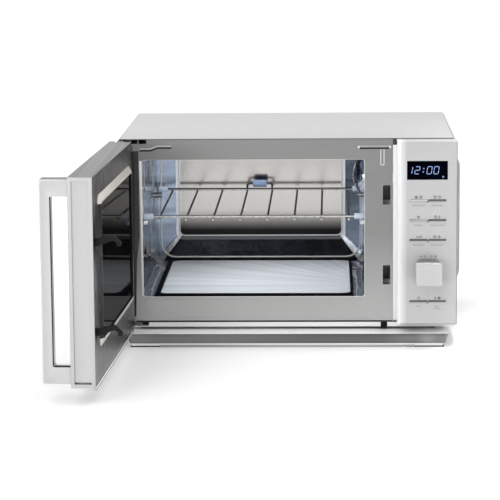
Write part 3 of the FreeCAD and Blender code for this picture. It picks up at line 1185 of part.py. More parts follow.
def latch_hooks():
    piece = Piece("latch_hooks", DOOR)
    bar_right = f"({PANEL_BACK} - bar_back)"
    bar_left = f"({bar_right} - bar_depth)"
    (upper_low, upper_top), (lower_low, lower_top) = hook_roots()

    def hook(nose, root, top):
        """Outline of one hook from its root's underside, round the nose, to its root's top."""
        return [(bar_right, root), ("-door_gap", root), ("(hook_reach - nose_long * 1.7)",
                                                         f"{nose} + hook_rise / 2"),
                ("(hook_reach - nose_long)", f"{nose} + hook_rise / 3"), ("(hook_reach - nose_long)", nose),
                ("(hook_reach - nose_round)", nose, "nose_round"),
                ("hook_reach", f"{nose} + hook_rise / 3", "(2 * nose_round)"),
                ("(hook_reach * 0.68)", f"{nose} + hook_rise", "(3 * nose_round)"), ("-door_gap", top),
                (bar_right, top)]
    piece.pad("YZ", f"{HOOK_X} - hook_thick / 2", "hook_thick",
              [(bar_left, f"{lower_low} - bar_end"), (bar_right, f"{lower_low} - bar_end")]
              + hook("(hook_high - hook_drop)", lower_low, lower_top) + hook("hook_high", upper_low,
                                                                             upper_top)
              + [(bar_right, f"{upper_top} + bar_end"), (bar_left, f"{upper_top} + bar_end")])


def latch_board():
    piece = Piece("latch_board")
    left, right = f"({HOOK_X} - hook_thick / 2 - 2 * latch_wall)", f"({PLATE_RIGHT} - latch_wall)"
    back = "(sheet + latch_deep)"
    low, high = "(hook_high - hook_drop - latch_foot)", "(hook_high + latch_head)"
    piece.pad("XY", low, f"{high} - {low}",
              [(f"({left} - latch_wall)", "sheet"), (left, "sheet"), (left, back), (right, back),
               (right, "sheet"),
               (f"({right} + latch_wall)", "sheet"), (f"({right} + latch_wall)", f"{back} + latch_wall"),
               (f"({left} - latch_wall)", f"{back} + latch_wall")])
    ledge_end = "(hook_reach - nose_long - ledge_gap)"
    for nose in ("hook_high", "(hook_high - hook_drop)"):
        piece.pad("XY", f"{nose} - ledge_gap - ledge_thick", "ledge_thick",
                  rect(left, right, f"{ledge_end} - nose_long", ledge_end))


def interlock_switches():
    piece = Piece("interlock_switches")
    left = f"({HOOK_X} - hook_thick / 2 - 2 * latch_wall)"
    boxes = [rect(left, f"{left} + switch_size", f"{level} - switch_size / 2", f"{level} + switch_size / 2")
             for level in ("hook_high", "(hook_high - hook_drop / 2)", "(hook_high - hook_drop)")]
    piece.pad("XZ", "sheet + latch_deep + latch_wall", "switch_size * 0.6", *boxes)


def display_outline():
    left = f"({PANEL_LEFT} + display_left)"
    high = f"({PANEL_TOP} - display_drop)"
    return rect(left, f"({left} + display_wide)", f"({high} - display_high)", high)


def key_outline(row, side):
    left = f"({KEY_X} + key_gap / 2)" if side == "right" else f"({KEY_X} - key_gap / 2 - key_long)"
    return rect(left, f"({left} + key_long)", f"({row} - key_high / 2)", f"({row} + key_high / 2)")


KEYS = [(f"key_{number}_{side}", row, side) for number, row in enumerate(ROWS, start=1)
        for side in ("left", "right")]
BOARD_LEFT = f"({PANEL_LEFT} + panel_bevel + panel_wall / 2 + fit)"
BOARD_RIGHT = f"({CASE_RIGHT} - panel_wall - fit)"
BOARD_LOW = "(panel_foot + panel_wall + board_side)"
BOARD_HIGH = f"({PANEL_TOP} - panel_wall - board_side)"


def control_housing():
    piece = Piece("control_housing")
    piece.pad("XY", "panel_foot", f"{PANEL_TOP} - panel_foot",
              [(PANEL_LEFT, "0"), (PANEL_LEFT, f"{PANEL_FRONT} + panel_bevel"),
               (f"{PANEL_LEFT} + panel_bevel", PANEL_FRONT), (CASE_RIGHT, PANEL_FRONT, "panel_round"),
               (CASE_RIGHT, "0")])
    inside = rect(f"{PANEL_LEFT} + panel_bevel + panel_wall / 2", f"{CASE_RIGHT} - panel_wall",
                  "panel_foot + panel_wall", f"{PANEL_TOP} - panel_wall")
    piece.pocket("XZ", PANEL_SKIN, "door_thick + door_gap", inside)
    piece.pad("XZ", "0", "panel_wall",
              rect(f"{PANEL_LEFT} - flange_width", f"{PANEL_LEFT} + panel_bevel", "panel_foot",
                   f"{PANEL_TOP} - flange_notch"))
    posts = [(side, level, "post_radius")
             for side in (f"{BOARD_LEFT} + post_inset", f"{BOARD_RIGHT} - post_inset")
             for level in (f"{BOARD_LOW} + post_inset", f"{BOARD_HIGH} - post_inset")]
    piece.pad("XZ", PANEL_SKIN, f"{BOARD_FACE} - {PANEL_SKIN}", *posts)
    slots = [grow(key_outline(row, side), "fit") for label, row, side in KEYS]
    piece.pocket("XZ", PANEL_FRONT, "panel_wall", display_outline(),
                 (KNOB_X, KNOB_Z, "shaft_radius + 2 * fit"), *slots)


def display_window():
    piece = Piece("display_window")
    piece.pad("XZ", f"{PANEL_SKIN} - lens_thick", "lens_thick", grow(display_outline(), "-fit"))
    piece.pad("XZ", PANEL_SKIN, "sheet", grow(display_outline(), "lens_rim"))


def control_board():
    piece = Piece("control_board")
    piece.pad("XZ", BOARD_FACE, "board_thick", rect(BOARD_LEFT, BOARD_RIGHT, BOARD_LOW, BOARD_HIGH))
    front = f"({PANEL_SKIN} + sheet + fit)"
    piece.pad("XZ", front, f"{BOARD_FACE} - {front}", grow(display_outline(), "-lens_rim / 3"))


def encoder():
    piece = Piece("encoder")
    body = rect(f"{KNOB_X} - encoder_size / 2", f"{KNOB_X} + encoder_size / 2",
                f"{KNOB_Z} - encoder_size / 2",
                f"{KNOB_Z} + encoder_size / 2")
    axis = (KNOB_X, KNOB_Z)
    front = f"({PANEL_SKIN} + fit)"
    piece.pad("XZ", f"{BOARD_FACE} - encoder_deep", "encoder_deep", body)
    piece.pad("XZ", front, f"{BOARD_FACE} - encoder_deep - {front}", axis + ("collar_radius",))
    piece.pocket("XZ", f"{front} - 1", f"{BOARD_FACE} - 2 * fit - {front}",
                 axis + ("shaft_radius + running",))


def encoder_shaft():
    piece = Piece("encoder_shaft")
    front = f"({PANEL_FRONT} - knob_lift - knob_grip)"
    piece.pad("XZ", front, f"{BOARD_FACE} - encoder_deep / 2 - {front}", (KNOB_X, KNOB_Z, "shaft_radius"))


def knob():
    piece = Piece("knob")
    face = f"({PANEL_FRONT} - knob_lift - knob_deep)"
    piece.pad("XZ", f"{face} + knob_cap", "knob_deep - knob_cap",
              rect(f"{KNOB_X} - knob_body / 2", f"{KNOB_X} + knob_body / 2", f"{KNOB_Z} - knob_body / 2",
                   f"{KNOB_Z} + knob_rise", "knob_corner"))
    piece.pad("XZ", face, "knob_cap",
              rect(f"{KNOB_X} - knob_wide / 2", f"{KNOB_X} + knob_wide / 2", f"{KNOB_Z} - knob_high / 2",
                   f"{KNOB_Z} + knob_high / 2", "knob_corner", "knob_edge * 1.5"))
    piece.pocket("XZ", f"{PANEL_FRONT} - knob_lift - knob_grip", "knob_grip + 1",
                 (KNOB_X, KNOB_Z, "shaft_radius + running"))
    front = value(face)
    piece.round_edges("knob_edge", lambda box: near(box.YMin, front) and near(box.YMax, front))


def keys():
    tact_face = f"({BOARD_FACE} - tact_size * 0.7)"
    for label, row, side in KEYS:
        piece = Piece(label)
        bar = key_outline(row, side)
        piece.pad("XZ", f"{PANEL_FRONT} - key_proud", "key_proud + panel_wall + fit", bar)
        left, right = bar[0][0], bar[1][0]
        piece.pad("XZ", f"{PANEL_SKIN} + fit", "sheet",
                  rect(left, right, f"{row} - key_high / 2 - key_rim", f"{row} + key_high / 2 + key_rim"))
        middle = f"(({left} + {right}) / 2)"
        back = f"({PANEL_SKIN} + fit + sheet)"
        piece.pad("XZ", back, f"{tact_face} - key_travel - fit - {back}",
                  rect(f"{middle} - tact_size / 3", f"{middle} + tact_size / 3", f"{row} - key_high / 2",
                       f"{row} + key_high / 2"))


def key_switches():
    piece = Piece("key_switches")
    boxes = []
    for label, row, side in KEYS:
        bar = key_outline(row, side)
        middle = f"(({bar[0][0]} + {bar[1][0]}) / 2)"
        boxes.append(rect(f"{middle} - tact_size / 2", f"{middle} + tact_size / 2", f"{row} - tact_size / 2",
                          f"{row} + tact_size / 2"))
    piece.pad("XZ", f"{BOARD_FACE} - tact_size * 0.7", "tact_size * 0.7", *boxes)


for build in (outer_casing, front_plate, cavity_shell, cavity_back, ceramic_plate, floor_seal, stirrer_well,
              stirrer_motor, stirrer_blade, waveguide, magnetron, hv_transformer, hv_capacitor, fan_shroud,
              fan_motor, fan_wheel, grill_screen, grill_reflector, grill_heater, oven_lamp, lamp_dome,
              rack_studs,
              rack, rack_sleeves, base_pan, plinth, feet, rear_panel, cord_gland, rear_screws, bumper_clip,
              upper_hinge, lower_hinge, door_frame, door_glass, door_panel, choke_frame, inner_glass,
              door_screen,
              handle, handle_screws, hinge_bushes, latch_hooks, latch_board, interlock_switches,
              control_housing,
              display_window, control_board, encoder, encoder_shaft, knob, keys, key_switches):
    build()
doc.recompute()

for item in doc.Objects:
    if "Invalid" in item.State or "Error" in item.State:
        raise RuntimeError(f"{item.Label} failed: {item.State}")
for piece in PIECES:
    label = piece.body.Label
    volume = 0.0
    for step, grows in piece.steps:
        if grows is not None and (step.Shape.Volume > volume) != grows:
            raise RuntimeError(f"{step.Label} has no effect on {label}")
        volume = step.Shape.Volume
    if piece.body.Shape.isNull() or not piece.body.Shape.isValid():
        raise RuntimeError(f"{label} has no valid shape")

os.makedirs("parts", exist_ok=True)
for piece in PIECES:
    piece.body.Shape.exportStep(f"parts/{piece.body.Label}.step")
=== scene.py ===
"""Looks of the grill microwave oven: finishes, fine pieces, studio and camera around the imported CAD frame."""

import json
import math

import bmesh
import bpy
from mathutils import Matrix, Vector


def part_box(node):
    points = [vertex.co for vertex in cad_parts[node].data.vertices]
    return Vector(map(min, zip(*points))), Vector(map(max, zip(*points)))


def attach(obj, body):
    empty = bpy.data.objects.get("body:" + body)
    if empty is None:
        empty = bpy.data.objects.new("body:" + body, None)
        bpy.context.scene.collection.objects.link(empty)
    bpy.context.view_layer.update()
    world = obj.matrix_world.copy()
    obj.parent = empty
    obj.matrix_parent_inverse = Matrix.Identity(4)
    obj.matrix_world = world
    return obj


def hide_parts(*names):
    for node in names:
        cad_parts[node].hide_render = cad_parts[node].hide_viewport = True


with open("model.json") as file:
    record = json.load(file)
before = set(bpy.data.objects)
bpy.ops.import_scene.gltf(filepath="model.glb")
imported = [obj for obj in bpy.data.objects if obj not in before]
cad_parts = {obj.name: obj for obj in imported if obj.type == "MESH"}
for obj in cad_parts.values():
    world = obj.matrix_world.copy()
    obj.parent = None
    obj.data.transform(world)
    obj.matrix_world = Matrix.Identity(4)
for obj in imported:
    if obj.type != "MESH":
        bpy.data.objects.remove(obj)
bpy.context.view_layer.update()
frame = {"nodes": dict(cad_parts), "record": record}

MM = 0.001
CASING_HALF = 226.0
DOOR_OPEN = math.radians(92.5)
HINGE_X, HINGE_Y = -220.5, -17.0

casing_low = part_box("outer_casing")[0]
plate_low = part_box("front_plate")[0]
OVEN = Matrix.Translation((casing_low.x + CASING_HALF * MM, plate_low.y, 0)) @ Matrix.Scale(MM, 4)
SWING = (
    Matrix.Translation((HINGE_X, HINGE_Y, 0))
    @ Matrix.Rotation(-DOOR_OPEN, 4, "Z")
    @ Matrix.Translation((-HINGE_X, -HINGE_Y, 0))
)
DOOR = OVEN @ SWING
node_body = {node: body for body, nodes in frame["record"]["behaviour"]["bodies"].items() for node in nodes}
node_slot = {name: node.data.materials[0].name for name, node in frame["nodes"].items()}


def across(*places):
    """Places across the oven, from millimetres into the frame."""
    return [(OVEN @ Vector((x, 0, 0))).x for x in places]


# Painted highlight: the span beside the control panel's bevel where its paint is lighter
BEVEL_HIGHLIGHT_SPAN = across(149, 160)
# Painted reflection: the front plate is brighter near its foot and darker higher up
PLATE_PAINTED_REFLECTION = ("Z", ((0.03, 1.0), (0.15, 0.58)))
# Painted reflection: lighter and darker patches along the plinth's face, brightest towards its right-hand end
PLINTH_PAINTED_REFLECTION = ("X", list(zip(
    across(-216, -110, 20, 128, 150, 172, 187, 200, 216),
    (0.72, 0.72, 0.52, 0.50, 0.66, 0.66, 1.0, 0.7, 0.66),
)))
# Painted highlight: a bright streak across the middle of the lower corners of the cavity's back, darker towards each
# side
CORNER_PAINTED_HIGHLIGHT = ("X", list(zip(
    across(-194, -181, -169, -161, 72, 80, 92, 105),
    (0.30, 0.45, 0.95, 1.0, 1.0, 0.95, 0.45, 0.30),
)))
# Centre of the fan of painted reflections on the ceramic floor, and the front and back between which its painted
# shade fades
FAN_CENTRE = OVEN @ Vector((122, 92, 0))
TILE_FRONT, TILE_BACK = ((OVEN @ Vector((0, y, 0))).y for y in (30, 260))
PAINT_COAT = {"Coat_Weight": 0.25, "Coat_Roughness": 0.22}
GRAIN_DEPTH = 0.0002


def three(value):
    """Three numbers from one, or the three given."""
    return (value,) * 3 if isinstance(value, (int, float)) else tuple(value[:3])


def shade(tone, share=1.0):
    """A share of a tone, which is a grey or three numbers, as a colour with its alpha."""
    return (*(part * share for part in three(tone)), 1)


class Nodes:
    """A node tree being made."""

    def __init__(self, tree):
        self.tree = tree

    def join(self, output, target):
        self.tree.links.new(output, target)

    def add(self, kind, inputs=None, **settings):
        """A node with its settings, and with values or other nodes' outputs on its inputs."""
        node = self.tree.nodes.new(kind)
        for name, value in settings.items():
            setattr(node, name, value)
        for name, value in (inputs or {}).items():
            if isinstance(value, bpy.types.NodeSocket):
                self.join(value, node.inputs[name])
            else:
                node.inputs[name].default_value = value
        return node

    def ramp(self, factor, low, high, start=0.3, end=0.7):
        limits = {"From Min": start, "From Max": end, "To Min": low, "To Max": high}
        return self.add("ShaderNodeMapRange", {"Value": factor, **limits}).outputs["Result"]


class Finish(Nodes):
    """A material being made: its shader, and nodes that vary it over the piece's Object coordinates."""

    def __init__(self, name, **surface):
        self.material = bpy.data.materials.new(name + "_finish")
        self.material.use_nodes = True
        super().__init__(self.material.node_tree)
        self.shader = self.tree.nodes["Principled BSDF"]
        self.place = self.add("ShaderNodeTexCoord").outputs["Object"]
        for socket, value in surface.items():
            self.shader.inputs[socket.replace("_", " ")].default_value = value

    def spread(self, scale):
        """Object coordinates, stretched by one number or by three."""
        inputs = {"Vector": self.place, "Scale": [1 / part for part in three(scale)]}
        return self.add("ShaderNodeMapping", inputs, vector_type="TEXTURE").outputs["Vector"]

    def noise(self, scale, detail=3.0, rough=0.55, warp=0.0):
        values = {"Scale": 1.0, "Detail": detail, "Roughness": rough, "Distortion": warp}
        return self.add("ShaderNodeTexNoise", {"Vector": self.spread(scale), **values}).outputs["Fac"]

    def cells(self, scale):
        return self.add("ShaderNodeTexVoronoi", {"Vector": self.spread(scale), "Scale": 1.0}).outputs["Color"]

    def mix(self, factor, first, second, how="MIX"):
        """Two colours or outputs, mixed."""
        inputs = {0: factor, 6: first, 7: second}
        return self.add("ShaderNodeMix", inputs, data_type="RGBA", blend_type=how).outputs[2]

    def drift(self, factor, tone, low, high):
        """A tone that drifts between two shares of itself."""
        return self.mix(factor, shade(tone, low), shade(tone, high))

    def along(self, axis, start, end):
        """Runs from 0 to 1 between two places on an axis of the frame."""
        parts = self.add("ShaderNodeSeparateXYZ", {"Vector": self.place})
        return self.ramp(parts.outputs[axis], 0.0, 1.0, start, end)

    def bands(self, axis, stops):
        """A share that changes along an axis of the frame, from stops of a place and a value."""
        start, end = stops[0][0], stops[-1][0]
        node = self.add("ShaderNodeValToRGB", {"Fac": self.along(axis, start, end)})
        points = node.color_ramp.elements
        for place, value in stops[1:-1]:
            points.new((place - start) / (end - start)).color = shade(value)
        points[0].color = shade(stops[0][1])
        points[-1].color = shade(stops[-1][1])
        return node.outputs["Color"]

    def give(self, socket, output):
        """Joins an output to the shader."""
        self.join(output, self.shader.inputs[socket])
        return self

    def paint(self, output):
        return self.give("Base Color", output)

    def colour(self, factor, tone, low, high):
        return self.paint(self.drift(factor, tone, low, high))

    def rough(self, factor, low, high):
        return self.give("Roughness", self.ramp(factor, low, high))

    def bump(self, height, strength, depth=GRAIN_DEPTH):
        inputs = {"Height": height, "Strength": strength, "Distance": depth}
        return self.give("Normal", self.add("ShaderNodeBump", inputs).outputs["Normal"])


def sprayed(made, rough, spread):
    """Ends a sprayed paint with its slow drift of gloss and faint orange-peel skin."""
    made.rough(made.noise(60, 2), rough - spread, rough + spread)
    return made.bump(made.noise(900, 2), 0.05).material


def silver_paint(name, tone, rough=0.38):
    """Sprayed metal-flake paint with a fine sparkle."""
    made = Finish(name, **PAINT_COAT)
    made.colour(made.noise(3400, 2), tone, 0.93, 1.05)
    return sprayed(made, rough, 0.015)


def panel_paint(name, tone, highlight_tone, start, end):
    """Silver paint with a painted highlight that makes it lighter beside the bevel at the left."""
    made = Finish(name, **PAINT_COAT)
    flake = made.noise(3400, 2)
    beside, away = (made.drift(flake, t, 0.95, 1.04) for t in (highlight_tone, tone))
    made.paint(made.mix(made.along("X", start, end), beside, away))
    return sprayed(made, 0.38, 0.02)


def brushed_steel(name, tone, along, rough=0.34, depth=0.06, metal=1.0, bands=None):
    """Steel with fine brush lines that run along one axis; bands gives an axis and the share of the tone along it."""
    made = Finish(name, Metallic=metal)
    stretch = [9.0 if axis == along else 2200.0 for axis in "XYZ"]
    lines = made.noise(stretch, 5, 0.7)
    brushed = made.drift(lines, tone, 0.93, 1.06)
    made.paint(made.mix(1.0, brushed, made.bands(*bands), "MULTIPLY") if bands else brushed)
    made.rough(made.noise([part / 9 for part in stretch]), rough - 0.06, rough + 0.08)
    return made.bump(lines, depth).material


def mirror_steel(name, tone, rough=0.07, wave=0.06, metal=1.0, deep=0.92, bright=1.04, warp=0.0, edge=1.0, foot=None):
    """Bright rolled sheet: nearly a mirror, with a slow waviness, faint wipe marks and darker drifts.

    edge tints what it reflects at a glancing angle; foot gives two heights and the share of metal below them.
    """
    made = Finish(name, Metallic=metal, Specular_Tint=shade(edge))
    drifts = made.ramp(made.noise((14, 9, 14), warp=warp), 0.0, 1.0, 0.34, 0.64)
    made.colour(drifts, tone, deep, bright)
    made.rough(made.noise((220, 40, 220), 5), rough * 0.6, rough * 1.5)
    if foot:
        low, high, dulled = foot
        made.give("Metallic", made.ramp(made.along("Z", low, high), dulled, metal, 0.0, 1.0))
    return made.bump(made.noise(9, 1.5), wave, 0.004).material


def drawn_enamel(name, tone, start, end):
    """Bright back of the cavity, with painted shade that makes it dark at its foot."""
    made = Finish(name, Metallic=1.0)
    cloud = made.noise(14, 5)
    # Painted shade: the foot takes a twentieth of the tone, blended into the rest along Z
    foot, upper = (made.drift(cloud, t, 0.92, 1.04) for t in (shade(tone, 0.05), tone))
    made.paint(made.mix(made.along("Z", start, end), foot, upper))
    return made.rough(made.noise((220, 40, 220), 5), 0.13, 0.18).material


def drawn_steel(name, tone, rough, metal):
    """Drawn sheet in a bluish tone, with painted reflections that lie in strong level bands."""
    made = Finish(name, Metallic=metal)
    made.colour(made.ramp(made.noise((6, 6, 70), 4), 0.0, 1.0), tone, 0.62, 1.3)
    made.rough(made.noise((60, 60, 220)), rough - 0.04, rough + 0.05)
    return made.bump(made.noise((10, 10, 16), 1.5), 0.15, 0.004).material


def moulded(name, tone, rough=0.45, grain=1800, light=1.12, gloss=0.5):
    """Moulded plastic with a fine spark-eroded grain."""
    made = Finish(name, Specular_IOR_Level=gloss)
    made.colour(made.noise(60, 5), tone, 0.9, light)
    made.rough(made.noise(45, 4), rough - 0.07, rough + 0.07)
    return made.bump(made.noise(grain), 0.12).material


def zinc_sheet(name, tone):
    """Galvanised sheet with its spangle of crystals."""
    made = Finish(name, Metallic=1.0)
    made.colour(made.cells(130), tone, 0.82, 1.08)
    made.rough(made.noise(150, 4), 0.32, 0.5)
    return made.bump(made.noise(700), 0.06).material


def cast_metal(name, tone, rough=0.42, metal=1.0):
    """Plain pressed or cast metal, slightly uneven."""
    made = Finish(name, Metallic=metal)
    made.colour(made.noise(90, 6), tone, 0.85, 1.1)
    made.rough(made.noise(400), rough - 0.08, rough + 0.08)
    return made.bump(made.noise(1200), 0.08).material


def dark_glass(name, tone, clear=0.0, rough=0.03, gloss=0.5):
    """Smoked glass with a faint film of wipe marks."""
    made = Finish(name, Transmission_Weight=clear, Specular_IOR_Level=gloss, IOR=1.5)
    film = made.noise((25, 25, 8), 6, 0.65)
    made.colour(film, tone, 0.8, 1.3)
    return made.rough(film, rough * 0.6, rough * 2.2).material


def glazed(made):
    """Ends a ceramic finish with its glossy face."""
    made.rough(made.noise(600), 0.1, 0.18)
    return made.bump(made.noise(160), 0.03, 0.0003).material


def glazed_ceramic(name, tone):
    """Pale ceramic or glass with a soft mottle under a glossy face."""
    made = Finish(name, Specular_IOR_Level=0.3)
    return glazed(made.colour(made.noise(22, 5), tone, 0.95, 1.04))


def ceramic_with_painted_light(name, tone):
    """The ceramic floor, with painted reflections as soft streaks of light that fan out across it from its right-hand
    side, and painted shade that darkens it towards its front.
    """
    made = Finish(name, Specular_IOR_Level=0.3)
    turned = {"Vector": made.place, "Location": (FAN_CENTRE.x, -FAN_CENTRE.y, 0), "Scale": (-1, 1, 1)}
    away = made.add("ShaderNodeMapping", turned).outputs["Vector"]
    parts = made.add("ShaderNodeSeparateXYZ", {"Vector": away}).outputs
    angle = made.add("ShaderNodeMath", {0: parts["Y"], 1: parts["X"]}, operation="ARCTAN2").outputs["Value"]
    spokes = {"W": angle, "Scale": 9.0, "Detail": 2.0}
    rays = made.add("ShaderNodeTexNoise", spokes, noise_dimensions="1D").outputs["Fac"]
    streaks = made.drift(made.ramp(rays, 0.0, 1.0, 0.36, 0.64), tone, 0.88, 1.04)
    # Painted shade: the floor is darker towards its front
    painted_shade_to_front = made.bands("Y", ((TILE_FRONT, 0.88), (TILE_BACK, 1.0)))
    return glazed(made.paint(made.mix(1.0, streaks, painted_shade_to_front, "MULTIPLY")))


def glowing_ink(name, tone, strength):
    """Lit display segment, slightly uneven as a real one is."""
    made = Finish(name, Base_Color=(0.02, 0.03, 0.06, 1), Emission_Strength=strength, Roughness=0.4)
    return made.give("Emission Color", made.drift(made.noise(700), tone, 0.85, 1.0)).material


FINISHES = {
    "casing_paint": silver_paint("casing_paint", (0.40, 0.40, 0.403)),
    "panel_paint": panel_paint("panel_paint", (0.468, 0.468, 0.471), (0.80, 0.80, 0.82), *BEVEL_HIGHLIGHT_SPAN),
    "door_paint": silver_paint("door_paint", (0.455, 0.455, 0.46)),
    "handle_paint": silver_paint("handle_paint", (0.53, 0.53, 0.535), rough=0.34),
    "knob_paint": silver_paint("knob_paint", (0.49, 0.49, 0.49), rough=0.34),
    "front_steel": brushed_steel("front_steel", (0.46, 0.46, 0.455), "X", bands=PLATE_PAINTED_REFLECTION),
    "panel_steel": brushed_steel("door_panel", (0.048, 0.05, 0.056), "Z", rough=0.3),
    "bright_steel": mirror_steel(
        "cavity_wall", (0.36, 0.405, 0.475), 0.05, 0.9, 0.97, deep=0.66, bright=1.12, warp=0.8,
        edge=(0.78, 0.74, 0.70), foot=(0.072, 0.12, 0.5),
    ),
    "back_enamel": drawn_enamel("cavity_back", (0.465, 0.45, 0.435), 0.104, 0.134),
    "ceramic": ceramic_with_painted_light("ceramic_floor", (0.905, 0.955, 1.0)),
    "seal_rubber": moulded("seal", 0.004, rough=0.6, gloss=0.05),
    "zinc_sheet": zinc_sheet("zinc", (0.55, 0.56, 0.57)),
    "motor_steel": cast_metal("motor_steel", (0.48, 0.48, 0.49)),
    "blade_alu": cast_metal("blade_alu", (0.72, 0.73, 0.74), rough=0.3),
    "core_varnish": cast_metal("core_varnish", (0.10, 0.07, 0.05), metal=0.5),
    "can_alu": cast_metal("can", (0.66, 0.67, 0.68), rough=0.3),
    "fan_plastic": moulded("fan_plastic", 0.06),
    "quartz": glazed_ceramic("quartz", (0.72, 0.71, 0.68)),
    "lamp_holder": moulded("lamp_holder", (0.62, 0.60, 0.55)),
    "rack_chrome": cast_metal("rack_chrome", (0.19, 0.185, 0.18)),
    "sleeve_ceramic": glazed_ceramic("sleeve", (0.62, 0.69, 0.80)),
    "plinth_paint": brushed_steel("plinth", (0.305, 0.305, 0.308), "X", bands=PLINTH_PAINTED_REFLECTION),
    "foot_plastic": moulded("foot", 0.95, light=1.05),
    "gland_plastic": moulded("gland", 0.03),
    "screw_zinc": cast_metal("screw", (0.62, 0.62, 0.60), rough=0.3),
    "clip_plastic": moulded("clip", 0.008, gloss=0.1),
    "hinge_steel": cast_metal("hinge", (0.16, 0.16, 0.165)),
    "door_glass": dark_glass("door_glass", 0.012, clear=0.25),
    "inner_glass": dark_glass("inner_glass", 0.003, gloss=0.0035),
    "choke_plastic": dark_glass("choke", (0.012, 0.011, 0.010), rough=0.12, gloss=0.16),
    "screen_steel": cast_metal("screen", (0.08, 0.08, 0.085)),
    "latch_plastic": moulded("latch", 0.008, gloss=0.15),
    "bush_plastic": moulded("bush", 0.6),
    "board_plastic": moulded("latch_board", (0.46, 0.48, 0.475)),
    "switch_plastic": moulded("switch", 0.05),
    "display_lens": dark_glass("display_lens", (0.001, 0.001, 0.003), gloss=0.004),
    "circuit_board": moulded("circuit_board", (0.03, 0.12, 0.05), rough=0.35),
    "key_plastic": moulded("key", 0.10),
}
INK = moulded("legend_ink", 0.11, rough=0.6, grain=2500)
PALE_INK = moulded("legend_pale_ink", 0.13, rough=0.6, grain=2500)
# Painted shade on the casing's front edge and on the bends along its top
CASING_EDGE_PAINTED_SHADE = silver_paint("casing_edge", 0.14)
CASING_BEND_PAINTED_SHADE = silver_paint("casing_bend", 0.22)
DOOR_TOP = brushed_steel("door_top", (0.14, 0.14, 0.136), "Y", rough=0.38, metal=0.6)
# Painted light: near-white paint that keeps the plinth's ledge, its rolled lip and the lip under the door bright
LEDGE_PAINTED_LIGHT = silver_paint("plinth_ledge", (0.93, 0.93, 0.935))
SLEEVE_BLUE = glazed_ceramic("bail_sleeve", (0.20, 0.26, 0.40))
# Painted reflections on the side slopes of the cavity's back
SIDE_SLOPE_PAINTED_REFLECTION = drawn_steel("back_side_slope", (0.30, 0.36, 0.46), 0.2, 0.8)
# Painted shade on the floor slope and the other slopes of the cavity's back
FLOOR_SLOPE_PAINTED_SHADE = mirror_steel("back_floor_slope", (0.085, 0.095, 0.12), rough=0.11, wave=0.3)
# Painted highlight on the lower corners of the cavity's back
BACK_CORNER_PAINTED_HIGHLIGHT = brushed_steel(
    "back_corner", (0.93, 0.95, 0.98), "Z", rough=0.26, depth=0.02, metal=0.3, bands=CORNER_PAINTED_HIGHLIGHT
)
# Painted shade on the foot of the back's crease, and painted highlight on the crease beside the sides and lower
# corners
CREASE_FOOT_PAINTED_SHADE = silver_paint("back_crease_foot", (0.13, 0.135, 0.14), rough=0.25)
CREASE_PAINTED_HIGHLIGHT = silver_paint("back_crease", (0.90, 0.90, 0.92), rough=0.28)
RACK_PAINTED_HIGHLIGHT = cast_metal("rack_light", (0.62, 0.61, 0.58), rough=0.3, metal=0.5)
DOME_STEEL = mirror_steel("lamp_dome", (0.52, 0.55, 0.62), rough=0.1, wave=0.0)
# Painted highlight: pale paint on the beads, the rib ends and stem, and the left edge of the opening
PAINTED_EDGE_HIGHLIGHT = silver_paint("seam", (0.80, 0.79, 0.78), rough=0.3)
RIB = silver_paint("rib", 0.36, rough=0.3)
# Painted shade: a dark sheet in the gap behind the panel's upper left corner
CORNER_GAP_SHADE = moulded("corner_sheet", 0.06, gloss=0.15)
# Painted shade on the front plate beside the hinge and in the gap along its foot
PLATE_PAINTED_SHADE = moulded("shaded_plate", 0.035, gloss=0.15)
# Painted light on the bevels above and below the door's window
BEVEL_PAINTED_LIGHT = silver_paint("window_bevel", (0.56, 0.53, 0.49), rough=0.3)
# Painted highlight on the control panel's left bevel and on the faces of the handle beside its gap
PANEL_BEVEL_PAINTED_HIGHLIGHT = silver_paint("panel_bevel", (0.915, 0.915, 0.92))
SHADED_SIDE = silver_paint("shaded_side", 0.20)
# Painted shade on the casing's right-hand side
CASING_SIDE_PAINTED_SHADE = silver_paint("casing_side", 0.175)
KNOB_GRIP = moulded("knob_grip", 0.09, rough=0.5)
# Painted highlight: the knob's ribs are paler than its body
KNOB_RIB_PAINTED_HIGHLIGHT = moulded("knob_rib", 0.26, rough=0.5)
LIT = glowing_ink("display_light", (0.38, 0.53, 1.0), 0.92)
# Painted shadow: near-black for slits, holes, recesses, gaps and contact where shade falls
PAINTED_SHADOW = moulded("shadow_black", 0.008, rough=0.6, gloss=0.2)
OWN_FINISH = {
    "rack_studs": cast_metal("rack_stud", (0.70, 0.71, 0.73), rough=0.25),
    "base_pan": silver_paint("base_flange", (0.90, 0.90, 0.905)),
    "key_1_left": moulded("key_pale", 0.50), "key_2_left": moulded("key_grey", 0.38),
}
for name, node in frame["nodes"].items():
    node.data.materials[0] = OWN_FINISH.get(name, FINISHES[node_slot[name]])


def new_object(name, data):
    made = bpy.data.objects.new(name, data)
    bpy.context.scene.collection.objects.link(made)
    return made


def piece(name, mesh, body, stands_for=(), smooth=35):
    """A finished mesh as a piece of the object that rides on a body."""
    mesh.name = name
    mesh.shade_smooth()
    if smooth:
        mesh.set_sharp_from_angle(angle=math.radians(smooth))
    made = new_object(name, mesh)
    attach(made, body)
    if stands_for:
        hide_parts(*stands_for)


def mesh_of(shape, place, *finishes):
    """A bmesh as a mesh with its finishes, moved from millimetres into the frame where a place is given."""
    if place is not None:
        bmesh.ops.transform(shape, matrix=place, verts=shape.verts)
    mesh = bpy.data.meshes.new("shape")
    bmesh.ops.recalc_face_normals(shape, faces=shape.faces)
    shape.to_mesh(mesh)
    shape.free()
    for finish in finishes:
        mesh.materials.append(finish)
    return mesh


def baked(host):
    """An object's evaluated shape as a plain mesh; the object goes."""
    mesh = bpy.data.meshes.new_from_object(host.evaluated_get(bpy.context.evaluated_depsgraph_get()))
    bpy.data.objects.remove(host)
    return mesh


